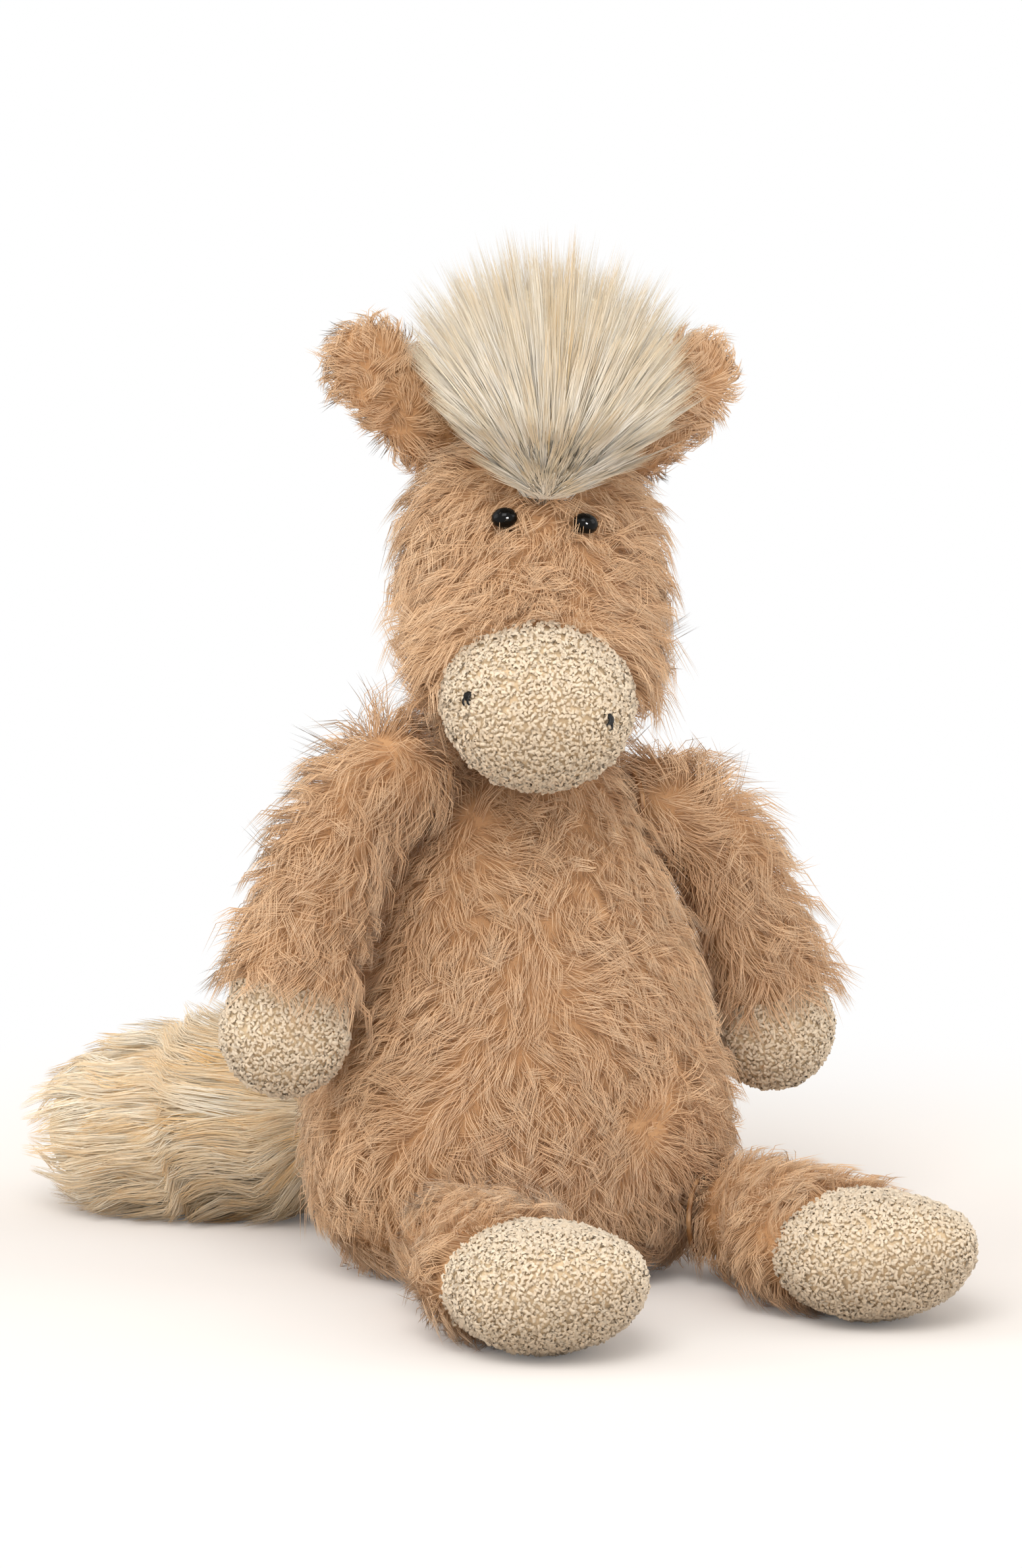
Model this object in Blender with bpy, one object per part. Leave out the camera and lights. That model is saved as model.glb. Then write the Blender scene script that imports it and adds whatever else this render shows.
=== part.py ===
"""A seated plush horse that faces -Y, in metres, with the floor at z = 0.

Every stuffed form is one spine with rings round it. Its filling has the form itself, and its cover
is the same form grown outwards, open where the next fabric is sewn on. A limb starts as a ball on
its joint, in a dent of the body, so that it turns there without cutting in.
"""

import math

import bmesh
import bpy
import numpy as np
from mathutils import Euler, Matrix, Vector

for old in list(bpy.data.objects):
    bpy.data.objects.remove(old, do_unlink=True)

# Fabrics, fits and cuts
GAP = 0.0003
FUR_THICKNESS = 0.005
LOOP_THICKNESS = 0.003
THREAD_RADIUS = 0.0008
FLOOR_PRESS = 0.0005
CUT_OVERRUN = 0.004
FUR_GROWTH = GAP + FUR_THICKNESS
LOOP_GROWTH = GAP + LOOP_THICKNESS

# How far apart the rings lie that each form is drawn with
BODY_RINGS = 0.016
HEAD_RINGS = 0.013
LIMB_RINGS = 0.014
EAR_RINGS = 0.013
HAIR_RINGS = 0.018
STRIP_RINGS = 0.009

# Body: its filling, from the seat to the ball that carries the head
BODY_HALF_WIDTH = 0.0647
BODY_HALF_DEPTH = 0.0567
NECK_HEIGHT = 0.187
NECK_BACK = 0.006
NECK_SIDE = 0.004
NECK_BALL = 0.0227
NECK_WAIST_DROP = 0.018
POUCH_TOP_AT = 3
# share of the height, of the half width and of the half depth
BODY_OUTLINE_SHARES = (
    (0.0, 0.722, 0.70),
    (0.037, 0.907, 0.89),
    (0.092, 0.969, 0.965),
    (0.191, 1.0, 1.0),
    (0.301, 0.961, 0.965),
    (0.411, 0.869, 0.885),
    (0.549, 0.735, 0.77),
    (0.686, 0.60, 0.645),
    (0.765, 0.51, 0.55),
    (0.835, 0.40, 0.43),
)
# how much of the neck's shift to the side and back the spine has reached at each of these heights
BODY_LEAN_SHARES = (0.0, 0.0, 0.0, 0.02, 0.08, 0.18, 0.34, 0.55, 0.72, 0.86)
NECK_OPENING_SHARE = 0.6
NECK_ROOM = 0.0035
NECK_THREAD_DOWN = 0.0048

# Head: the spine bends from the crown down and forward into the muzzle, from the neck's centre
HEAD_TURN = math.radians(-22.5)
HEAD_ROLL = math.radians(4.5)
HEAD_HALF_WIDTH = 0.0338
HEAD_HALF_DEPTH = 0.031
CROWN_ROUND = 0.025
CROWN_HEIGHT = 0.0697
CROWN_BACK = 0.008
MUZZLE_SEAM_FORWARD = 0.050
MUZZLE_LENGTH = 0.033
MUZZLE_DROP = 0.009
MUZZLE_HALF_WIDTH = 0.0275
MUZZLE_HALF_HEIGHT = 0.0237
MUZZLE_ROUND = 0.029
# between crown and muzzle seam: share of the way forward, share of the crown's height left,
# share of the head's half width and half depth
HEAD_BEND_SHARES = (
    (0.035, 0.775, 0.96, 0.97),
    (0.12, 0.575, 1.0, 1.0),
    (0.285, 0.40, 1.0, 1.02),
    (0.51, 0.245, 0.985, 0.89),
    (0.76, 0.113, 0.97, 0.70),
)

# Limbs
SHOULDER_SIDE = 0.046
SHOULDER_FORWARD = 0.006
SHOULDER_HEIGHT = {"left": 0.146, "right": 0.1605}
SHOULDER_BALL = 0.0127
SHOULDER_WAIST = 0.008
SHOULDER_THREAD_IN = 0.012
ARM_ROOT_DOWN = math.radians(30)
ARM_REACH = {"left": 0.0455, "right": 0.0405}
ARM_DROP = 0.080
ARM_FORWARD = {"left": -0.004, "right": 0.003}
ARM_HALF = 0.0148
WRIST_DROP_SHARE = 0.79
WRIST_REACH_SHARE = 0.93
HOOF_LENGTH = 0.0325
HOOF_HALF_WIDTH = 0.0190
HOOF_HALF_DEPTH = 0.0158
HOOF_FULL_SHARE = 0.45
HOOF_ROUND_SHARE = 0.58
# share of the arm's reach, of its drop and of its girth, above the wrist
ARM_BEND_SHARES = (
    (0.44, 0.18, 0.82),
    (0.63, 0.37, 0.86),
    (0.79, 0.59, 0.91),
)

HIP_SIDE = 0.050
HIP_FORWARD = 0.060
HIP_HEIGHT = 0.0215
HIP_BALL = 0.0157
HIP_WAIST = 0.009
HIP_THREAD_IN = 0.016
HIP_INWARD = math.radians(40)
ANKLE = {"left": 0.050, "right": 0.044}
LEG_HALF_WIDTH = 0.0230
LEG_HALF_HEIGHT = 0.0162
LEG_FULL_SHARE = 0.55
ANKLE_HALF_WIDTH = 0.0250
ANKLE_SEAM = 3 * GAP
FOOT_LENGTH = 0.0485
FOOT_HALF_WIDTH = 0.0278
FOOT_HALF_HEIGHT = 0.0177
FOOT_FULL_SHARE = 0.30
TOE_SHARE = 0.80
TOE_HEIGHT = 0.031
LEG_TURN = {"left": math.radians(3.6), "right": math.radians(-6.5)}
FOOT_TURN = {"left": math.radians(15), "right": math.radians(13)}

# Tail
TAIL_HEIGHT = 0.038
TAIL_SIDE = -0.006
TAIL_BACK = 0.066
TAIL_BALL = 0.009
TAIL_CORE_RADIUS = 0.0075
TAIL_REACH_BACK = 0.077
TAIL_REACH_SIDE = -0.091
TAIL_HAIR_RADIUS = 0.031
TAIL_ROOT_SHARE = 0.35
TAIL_TIP_SHARE = 0.6
# share of the reach to the side, of the reach back and of the way down to where the hair lies
TAIL_ROUTE_SHARES = (
    (0.045, 0.10, 0.10),
    (0.19, 0.37, 0.6),
    (0.53, 0.70, 1.0),
    (0.76, 0.86, 1.25),
    (1.05, 1.02, 1.9),
)
TAIL_GIRTH_SHARES = (0.42, 0.80, 1.02, 0.92, 0.66)

SIDES = {"left": 1, "right": -1}


def material(name, red, green, blue, roughness):
    made = bpy.data.materials.new(name)
    made.use_nodes = True
    shader = made.node_tree.nodes["Principled BSDF"]
    shader.inputs["Base Color"].default_value = (red, green, blue, 1)
    shader.inputs["Roughness"].default_value = roughness
    shader.inputs["Metallic"].default_value = 0
    return made


TAN_FUR = material("tan_fur", 0.56, 0.34, 0.18, 0.9)
CREAM_LOOPS = material("cream_loops", 0.78, 0.68, 0.51, 0.95)
MANE_HAIR = material("mane_hair", 0.80, 0.70, 0.52, 0.7)
FILLING = material("filling", 0.90, 0.90, 0.88, 1.0)
BEAN_BAG = material("bean_bag", 0.85, 0.84, 0.80, 0.8)
BLACK_PLASTIC = material("black_plastic", 0.01, 0.01, 0.01, 0.15)
WASHER_PLASTIC = material("washer_plastic", 0.8, 0.8, 0.78, 0.4)
BLACK_THREAD = material("black_thread", 0.02, 0.02, 0.02, 0.7)
TAN_THREAD = material("tan_thread", 0.50, 0.32, 0.18, 0.7)
BACKING = material("backing", 0.70, 0.62, 0.48, 0.9)


def smooth(keys, values, at, level):
    """A smooth curve through the values, straight past its ends, level where they turn back."""
    slopes = np.gradient(values, keys, axis=0)
    if level:
        steps = np.diff(values, axis=0)
        slopes[1:-1][steps[1:] * steps[:-1] <= 0] = 0
    i = int(np.clip(np.searchsorted(keys, at, side="right") - 1, 0, len(keys) - 2))
    step = keys[i + 1] - keys[i]
    inside = min(max(at, keys[0]), keys[-1])
    t = (inside - keys[i]) / step
    a, b = values[i], values[i + 1]
    u, v = slopes[i] * step, slopes[i + 1] * step
    curve = a + t * u + t * t * (3 * (b - a) - 2 * u - v) + t**3 * (2 * (a - b) + u + v)
    past = slopes[0] if at < keys[0] else slopes[-1]
    return curve + past * (at - inside)


def on_ball(radius, at):
    """The girth of a ball at a distance from its centre."""
    return math.sqrt(radius**2 - at**2)


class Form:
    """Elliptic rings along a smooth spine, closed by round or flat ends.

    Rings lie at the same marks in every skin of a form, so that one skin stays inside the next.
    """

    def __init__(self, spine, halves, sides, step, round_start=0.0, round_end=0.0, seams=()):
        self.points = np.array([tuple(p) for p in spine])
        spans = np.linalg.norm(np.diff(self.points, axis=0), axis=1)
        self.keys = np.concatenate([[0.0], np.cumsum(spans)])
        self.length = float(self.keys[-1])
        self.halves = np.array(halves)
        self.sides = sides
        self.round_start = round_start
        self.round_end = round_end
        stops = [round_start, *(float(self.keys[i]) for i in seams), self.length - round_end]
        self.marks = []
        for low, high in zip(stops, stops[1:]):
            steps = max(1, round((high - low) / step))
            self.marks += [low + (high - low) * k / steps for k in range(steps)]
        self.marks.append(stops[-1])
        self.clear = step / 10

    def fullness(self, at, grow):
        """The share of its girth that a ring keeps inside a round end."""
        reach = 0.0
        if self.round_start and at < self.round_start:
            reach = (self.round_start - at) / (self.round_start + grow)
        if self.round_end and at > self.length - self.round_end:
            reach = (at - self.length + self.round_end) / (self.round_end + grow)
        return math.sqrt(max(0.0, 1 - reach**2))

    def frame(self, at):
        """The centre, the way to the side and the way square to it and the spine."""
        small = self.length / 1000
        places = (at, at - small, at + small)
        centre, before, after = (
            Vector(smooth(self.keys, self.points, place, level=False)) for place in places
        )
        along = (after - before).normalized()
        wide = Vector((1, 0, 0))
        wide = (wide - along * wide.dot(along)).normalized()
        return centre, wide, along.cross(wide)

    def point(self, at, angle, grow):
        centre, wide, deep = self.frame(at)
        half_wide, half_deep = smooth(self.keys, self.halves, at, level=True)
        full = self.fullness(at, grow)
        across = wide * (half_wide + grow) * math.cos(angle)
        return centre + full * (across + deep * (half_deep + grow) * math.sin(angle))

    def stations(self, begin, end, grow):
        """Where the rings lie, between cuts, or to the form's own end where a cut is None."""
        angles = [math.pi / 8 * k for k in (1, 2, 3)]
        places = list(self.marks)
        if self.round_start:
            reach = self.round_start + grow
            places = [self.round_start - reach * math.cos(a) for a in angles] + places
        else:
            places[0] -= grow
        if self.round_end:
            reach = self.round_end + grow
            high = self.length - self.round_end
            places += [high + reach * math.cos(a) for a in reversed(angles)]
        else:
            places[-1] += grow
        if begin is not None:
            places = [begin] + [at for at in places if at > begin + self.clear]
        if end is not None:
            places = [at for at in places if at < end - self.clear] + [end]
        return places


def add_skin(bm, form, begin, end, grow, capped):
    """One tube of rings. A form's own ends are closed, and a cut end only where capped."""
    rings = []
    for at in form.stations(begin, end, grow):
        turn = 2 * math.pi / form.sides
        points = [form.point(at, turn * k, grow) for k in range(form.sides)]
        rings.append([bm.verts.new(p) for p in points])
    for low, high in zip(rings, rings[1:]):
        for k in range(form.sides):
            after = (k + 1) % form.sides
            bm.faces.new((low[k], low[after], high[after], high[k]))
    ends = (
        (rings[0], begin, form.round_start, -grow),
        (rings[-1], end, form.round_end, form.length + grow),
    )
    for ring, cut_at, rounded, pole_at in ends:
        if cut_at is None and rounded:
            pole = bm.verts.new(form.frame(pole_at)[0])
            for k in range(form.sides):
                bm.faces.new((ring[k], ring[(k + 1) % form.sides], pole))
        elif cut_at is None or capped:
            bm.faces.new(ring)
    return rings[0], rings[-1]


def add_object(name, bm, finish, parent=None):
    bmesh.ops.recalc_face_normals(bm, faces=bm.faces)
    mesh = bpy.data.meshes.new(name)
    bm.to_mesh(mesh)
    bm.free()
    mesh.shade_smooth()
    mesh.set_sharp_from_angle(angle=math.radians(50))
    if finish is not None:
        mesh.materials.append(finish)
    obj = bpy.data.objects.new(name, mesh)
    bpy.context.scene.collection.objects.link(obj)
    obj.parent = parent
    return obj


def solid(name, form, finish, parent=None, begin=None, end=None, grow=0.0):
    bm = bmesh.new()
    add_skin(bm, form, begin, end, grow, capped=True)
    return add_object(name, bm, finish, parent)


def cover(name, form, finish, parent, thickness, begin=None, end=None):
    """A fabric wall round a form's filling, open at each cut."""
    bm = bmesh.new()
    outer = add_skin(bm, form, begin, end, GAP + thickness, capped=False)
    inner = add_skin(bm, form, begin, end, GAP, capped=False)
    for outside, inside, cut_at in zip(outer, inner, (begin, end)):
        for k in range(form.sides if cut_at is not None else 0):
            after = (k + 1) % form.sides
            bm.faces.new((outside[k], outside[after], inside[after], inside[k]))
    return add_object(name, bm, finish, parent)


def empty(name, place, turn=(0, 0, 0), parent=None):
    """A joint, which its moving pieces are parented to."""
    made = bpy.data.objects.new(name, None)
    bpy.context.scene.collection.objects.link(made)
    made.parent = parent
    made.location = place
    made.rotation_euler = Euler(turn)
    return made


def hidden(cutter):
    cutter.hide_render = True
    cutter.display_type = "WIRE"
    return cutter


def cut(obj, cutter):
    modifier = obj.modifiers.new("cut_by_" + cutter.name, "BOOLEAN")
    modifier.operation = "DIFFERENCE"
    modifier.object = cutter


def ball_cutter(name, radius, parent):
    """A ball whose flats, not its corners, lie one gap outside the radius."""
    round_sides, rows = 18, 10
    flats = math.cos(math.pi / round_sides) * math.cos(math.pi / (2 * rows))
    bm = bmesh.new()
    bmesh.ops.create_uvsphere(
        bm, u_segments=round_sides, v_segments=rows, radius=(radius + GAP) / flats
    )
    return hidden(add_object(name, bm, None, parent))


def turned(name, profile, finish, parent, place, segments, closed, stretch=(1, 1, 1)):
    """A profile of (radius, height) turned round its own Z, then placed by a matrix."""
    bm = bmesh.new()
    rings = []
    for radius, height in profile:
        if radius == 0:
            rings.append([bm.verts.new((0, 0, height))])
            continue
        angles = [2 * math.pi * k / segments for k in range(segments)]
        ring = [(radius * math.cos(a), radius * math.sin(a), height) for a in angles]
        rings.append([bm.verts.new(p) for p in ring])
    pairs = list(zip(rings, rings[1:]))
    if closed:
        pairs.append((rings[-1], rings[0]))
    for low, high in pairs:
        for k in range(segments):
            after = (k + 1) % segments
            corners = [low[k % len(low)], low[after % len(low)]]
            corners += [high[after % len(high)], high[k % len(high)]]
            bm.faces.new(list(dict.fromkeys(corners)))
    bmesh.ops.transform(bm, matrix=place @ Matrix.Diagonal((*stretch, 1)), verts=bm.verts)
    return add_object(name, bm, finish, parent)


def thread_ring(name, ball, offset, finish, parent, place):
    """A thread in a groove round a ball, in a plane at an offset from the ball's centre."""
    ring = on_ball(ball, offset) - THREAD_RADIUS
    angles = [math.pi / 3 * k for k in range(6)]
    profile = [
        (ring + THREAD_RADIUS * math.cos(a), offset + THREAD_RADIUS * math.sin(a))
        for a in angles
    ]
    turned(name, profile, finish, parent, place, 20, closed=True)
    room = THREAD_RADIUS + GAP
    groove = [
        (ring - room, offset - room),
        (ring + CUT_OVERRUN, offset - room),
        (ring + CUT_OVERRUN, offset + room),
        (ring - room, offset + room),
    ]
    return hidden(turned(name + "_groove", groove, None, parent, place, 20, closed=True))


def body_form():
    """Also gives where the bean pouch ends and the fibre starts."""
    seat = FUR_GROWTH
    height = NECK_HEIGHT - seat
    spine, halves = [], []
    for (up, wide, deep), lean in zip(BODY_OUTLINE_SHARES, BODY_LEAN_SHARES):
        spine.append((NECK_SIDE * lean, NECK_BACK * lean, seat + height * up))
        halves.append((BODY_HALF_WIDTH * wide, BODY_HALF_DEPTH * deep))
    waist = NECK_HEIGHT - NECK_WAIST_DROP
    waist_girth = on_ball(NECK_BALL, NECK_WAIST_DROP)
    lean = (BODY_LEAN_SHARES[-1] + 1) / 2
    spine.append((NECK_SIDE * lean, NECK_BACK * lean, waist))
    halves.append((waist_girth, waist_girth))
    spine.append((NECK_SIDE, NECK_BACK, NECK_HEIGHT))
    halves.append((NECK_BALL, NECK_BALL))
    spine.append((NECK_SIDE, NECK_BACK, NECK_HEIGHT + NECK_BALL))
    halves.append((NECK_BALL, NECK_BALL))
    seams = (POUCH_TOP_AT,)
    form = Form(spine, halves, 24, BODY_RINGS, round_end=NECK_BALL, seams=seams)
    return form, float(form.keys[POUCH_TOP_AT])


def head_form():
    """Also gives where the muzzle's seam lies along the spine."""
    spine = [(0, CROWN_BACK, CROWN_HEIGHT)]
    halves = [(HEAD_HALF_WIDTH * HEAD_BEND_SHARES[0][2], HEAD_HALF_DEPTH * HEAD_BEND_SHARES[0][3])]
    for forward, left, wide, deep in HEAD_BEND_SHARES:
        back = CROWN_BACK - (CROWN_BACK + MUZZLE_SEAM_FORWARD) * forward
        spine.append((0, back, CROWN_HEIGHT * left))
        halves.append((HEAD_HALF_WIDTH * wide, HEAD_HALF_DEPTH * deep))
    spine.append((0, -MUZZLE_SEAM_FORWARD, 0))
    halves.append((MUZZLE_HALF_WIDTH, MUZZLE_HALF_HEIGHT))
    spine.append((0, -MUZZLE_SEAM_FORWARD - MUZZLE_LENGTH, -MUZZLE_DROP))
    halves.append((MUZZLE_HALF_WIDTH, MUZZLE_HALF_HEIGHT))
    form = Form(spine, halves, 22, HEAD_RINGS, CROWN_ROUND, MUZZLE_ROUND, seams=(-2,))
    return form, float(form.keys[-2])


def arm_form(side):
    """From the shoulder's ball out and down to the hoof, with the place of the wrist."""
    way = SIDES[side]
    outward = Vector((way * math.cos(ARM_ROOT_DOWN), 0, -math.sin(ARM_ROOT_DOWN)))
    spine = [outward * -SHOULDER_BALL, Vector()]
    halves = [(SHOULDER_BALL, SHOULDER_BALL)] * 2
    spine.append(outward * SHOULDER_WAIST)
    waist = on_ball(SHOULDER_BALL, SHOULDER_WAIST)
    halves.append((waist, waist))
    reach = Vector((way * ARM_REACH[side], 0, 0))
    drop = Vector((0, -ARM_FORWARD[side], -ARM_DROP))
    for out_share, down_share, half_share in ARM_BEND_SHARES:
        spine.append(reach * out_share + drop * down_share)
        halves.append((ARM_HALF * half_share, ARM_HALF * half_share))
    wrist = reach * WRIST_REACH_SHARE + drop * WRIST_DROP_SHARE
    spine.append(wrist)
    halves.append((ARM_HALF, ARM_HALF))
    hoof = (reach * (1 - WRIST_REACH_SHARE) + drop * (1 - WRIST_DROP_SHARE)).normalized()
    spine.append(wrist + hoof * HOOF_LENGTH * HOOF_FULL_SHARE)
    halves.append((HOOF_HALF_WIDTH, HOOF_HALF_DEPTH))
    spine.append(wrist + hoof * HOOF_LENGTH)
    halves.append((HOOF_HALF_WIDTH, HOOF_HALF_DEPTH))
    tip = HOOF_LENGTH * HOOF_ROUND_SHARE
    form = Form(spine, halves, 16, LIMB_RINGS, SHOULDER_BALL, tip, seams=(-3,))
    return form, float(form.keys[-3])


def leg_form(side):
    """From the hip's ball forward to the toe, with the place of the ankle."""

    def ahead(angle, length):
        return Vector((math.sin(angle) * length, -math.cos(angle) * length, 0))

    first, last = LEG_TURN[side], FOOT_TURN[side]
    leg_height = LEG_HALF_HEIGHT + FUR_GROWTH - FLOOR_PRESS - HIP_HEIGHT
    foot_height = FOOT_HALF_HEIGHT + LOOP_GROWTH - FLOOR_PRESS - HIP_HEIGHT
    ankle = ahead(first, ANKLE[side])
    spine = [ahead(first, -HIP_BALL), Vector(), ahead(first, HIP_WAIST)]
    waist = on_ball(HIP_BALL, HIP_WAIST)
    halves = [(HIP_BALL, HIP_BALL), (HIP_BALL, HIP_BALL), (waist, waist)]
    spine.append(ahead(first, ANKLE[side] * LEG_FULL_SHARE) + Vector((0, 0, leg_height)))
    halves.append((LEG_HALF_WIDTH, LEG_HALF_HEIGHT))
    spine.append(ankle + Vector((0, 0, leg_height)))
    halves.append((ANKLE_HALF_WIDTH, LEG_HALF_HEIGHT))
    full = FOOT_LENGTH * FOOT_FULL_SHARE
    fullest = ankle + ahead((first + last) / 2, full)
    spine.append(fullest + Vector((0, 0, foot_height)))
    halves.append((FOOT_HALF_WIDTH, FOOT_HALF_HEIGHT))
    toe = fullest + ahead(last, FOOT_LENGTH - full)
    spine.append(toe + Vector((0, 0, TOE_HEIGHT - HIP_HEIGHT)))
    halves.append((FOOT_HALF_WIDTH * TOE_SHARE, FOOT_HALF_HEIGHT * TOE_SHARE))
    form = Form(spine, halves, 16, LIMB_RINGS, HIP_BALL, FOOT_LENGTH - full, seams=(-3,))
    return form, float(form.keys[-3])


neck_joint = empty("neck_joint", (NECK_SIDE, NECK_BACK, NECK_HEIGHT))
head_joint = empty(
    "head_joint", (NECK_SIDE, NECK_BACK, NECK_HEIGHT), (0, HEAD_ROLL, HEAD_TURN)
)
tail_joint = empty("tail_joint", (TAIL_SIDE, TAIL_BACK, TAIL_HEIGHT))
shoulders, hips = {}, {}
for side, way in SIDES.items():
    shoulder = (way * SHOULDER_SIDE, -SHOULDER_FORWARD, SHOULDER_HEIGHT[side])
    shoulders[side] = empty("shoulder_joint_" + side, shoulder)
    hips[side] = empty("hip_joint_" + side, (way * HIP_SIDE, -HIP_FORWARD, HIP_HEIGHT))

# The floor, as a block that flattens what lies on it
FLOOR_SPAN = 0.6
bm = bmesh.new()
floor_block = Matrix.Translation((0, 0, -FLOOR_SPAN / 2)) @ Matrix.Scale(FLOOR_SPAN, 4)
bmesh.ops.create_cube(bm, size=1, matrix=floor_block)
floor_cutter = hidden(add_object("floor_cutter", bm, None))


def make_body():
    """Cover open at the neck, fibre over a bean pouch, and dents where the limbs turn."""
    form, pouch_top = body_form()
    opening = form.length - NECK_BALL * (1 - NECK_OPENING_SHARE)
    skin = cover("body_cover", form, TAN_FUR, None, FUR_THICKNESS, end=opening)
    pouch = solid("bean_pouch", form, BEAN_BAG, end=pouch_top)
    fibre = solid("body_stuffing", form, FILLING, begin=pouch_top + GAP, end=opening)
    for side in SIDES:
        arm_dent = ball_cutter("dent_arm_" + side, SHOULDER_BALL + FUR_GROWTH, shoulders[side])
        cut(skin, arm_dent)
        cut(fibre, arm_dent)
        hip_dent = ball_cutter("dent_leg_" + side, HIP_BALL + FUR_GROWTH, hips[side])
        for piece in (skin, pouch, fibre):
            cut(piece, hip_dent)
    tail_dent = ball_cutter("dent_tail", TAIL_BALL, tail_joint)
    cut(skin, tail_dent)
    groove = thread_ring(
        "neck_thread",
        NECK_BALL + FUR_GROWTH,
        -NECK_THREAD_DOWN,
        TAN_THREAD,
        neck_joint,
        Matrix(),
    )
    cut(skin, groove)


make_body()

# Eyes, nostrils and ears, on the head
EYE_RADIUS = 0.0042
EYE_DOME = 0.0034
EYE_SINK = 0.0012
EYE_OVAL_SHARE = 0.80
EYE_RIM_SHARE = 0.94
EYE_SPREAD = math.radians(18.8)
EYE_DOWN = 0.0475
SHANK_RADIUS = 0.0015
SHANK_LENGTH = 0.0085
WASHER_RADIUS = 0.0045
WASHER_THICKNESS = 0.0012
WASHER_DEPTH = 0.0064


def surface_matrix(form, at, angle, grow):
    """A frame on a form's surface: Z out, X level along the ring."""
    small = form.length / 500
    here = form.point(at, angle, grow)
    round_way = form.point(at, angle + small, grow) - form.point(at, angle - small, grow)
    along = form.point(at + small, angle, grow) - form.point(at - small, angle, grow)
    out = round_way.cross(along).normalized()
    if out.dot(here - form.frame(at)[0]) < 0:
        out.negate()
    level = round_way.normalized()
    frame = Matrix((level, out.cross(level), out)).transposed().to_4x4()
    return Matrix.Translation(here) @ frame


def eye_profile(extra):
    """From the shank's end out to the dome, grown by extra."""
    shank = SHANK_RADIUS + extra
    radius = EYE_RADIUS + extra
    deep, back = -SHANK_LENGTH - extra, -EYE_SINK - extra
    profile = [(0, deep), (shank, deep), (shank, back), (radius * EYE_RIM_SHARE, back), (radius, 0)]
    for angle in (30, 60):
        lift = math.radians(angle)
        profile.append((radius * math.cos(lift), (EYE_DOME + extra) * math.sin(lift)))
    return profile + [(0, EYE_DOME + extra)]


def make_eye(side, form, skin, fibre):
    """A safety eye: dome and shank in one, through the cover, locked by a washer inside."""
    angle = math.pi / 2 - SIDES[side] * EYE_SPREAD
    place = surface_matrix(form, EYE_DOWN, angle, FUR_GROWTH)
    oval = (1, EYE_OVAL_SHARE, 1)
    name = "eye_" + side
    turned(name, eye_profile(0), BLACK_PLASTIC, head_joint, place, 20, False, oval)
    hole = turned(name + "_hole", eye_profile(GAP), None, head_joint, place, 20, False)
    cut(skin, hidden(hole))
    outer, inner = WASHER_RADIUS, SHANK_RADIUS + GAP
    top, bottom = -WASHER_DEPTH, -WASHER_DEPTH - WASHER_THICKNESS
    ring = [(inner, bottom), (outer, bottom), (outer, top), (inner, top)]
    washer = "eye_washer_" + side
    turned(washer, ring, WASHER_PLASTIC, head_joint, place, 20, closed=True)
    deep = -SHANK_LENGTH - GAP
    room = outer + GAP
    pocket = [(0, deep), (room, deep), (room, CUT_OVERRUN), (0, CUT_OVERRUN)]
    cut(fibre, hidden(turned(washer + "_room", pocket, None, head_joint, place, 20, False)))


NOSTRIL_THREAD = 0.0009
NOSTRIL_RINGS = 0.0016
NOSTRIL_PLACE = {"left": math.radians(33.5), "right": math.radians(46)}
NOSTRIL_LIFT = {"left": math.radians(17), "right": math.radians(23)}
NOSTRIL_REACH_SHARE = 0.075
# how far out along the muzzle, as a share of the reach, and how far round it, in radians
NOSTRIL_STITCH_SHARES = ((-0.6, -0.085), (0.15, 0.02), (0.75, -0.07))


def make_nostril(side, form):
    """Two stitches that meet in a point, lying on the muzzle."""
    way = SIDES[side]
    lift = NOSTRIL_LIFT[side]
    spread_angle = lift if way > 0 else math.pi - lift
    grow = LOOP_GROWTH + GAP + NOSTRIL_THREAD
    middle = form.length - MUZZLE_ROUND * (1 - math.cos(NOSTRIL_PLACE[side]))
    reach = MUZZLE_ROUND * NOSTRIL_REACH_SHARE
    points = [
        form.point(middle + reach * out, spread_angle + way * up, grow)
        for out, up in NOSTRIL_STITCH_SHARES
    ]
    halves = [(NOSTRIL_THREAD, NOSTRIL_THREAD)] * len(points)
    thread = Form(points, halves, 6, NOSTRIL_RINGS, NOSTRIL_THREAD, NOSTRIL_THREAD)
    solid("nostril_" + side, thread, BLACK_THREAD, head_joint)


EAR_DOWN = 0.0045
EAR_ROUND = math.radians(20)
EAR_LENGTH = 0.046
EAR_HALF_WIDTH = 0.0122
EAR_PANEL = 0.0038
EAR_ROOT = 0.004
EAR_STAND_OFF = 0.0048
EAR_TIP_SHARE = 0.3
EAR_LEAN = {"left": math.radians(35), "right": math.radians(44)}
EAR_CURL = 0.004
# share of the way up, of the half width and of the curl
EAR_SHARES = ((0.0, 0.60, 0.0), (0.35, 0.88, -0.25), (0.68, 1.0, 0.0), (1.0, 0.96, 1.0))


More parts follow.
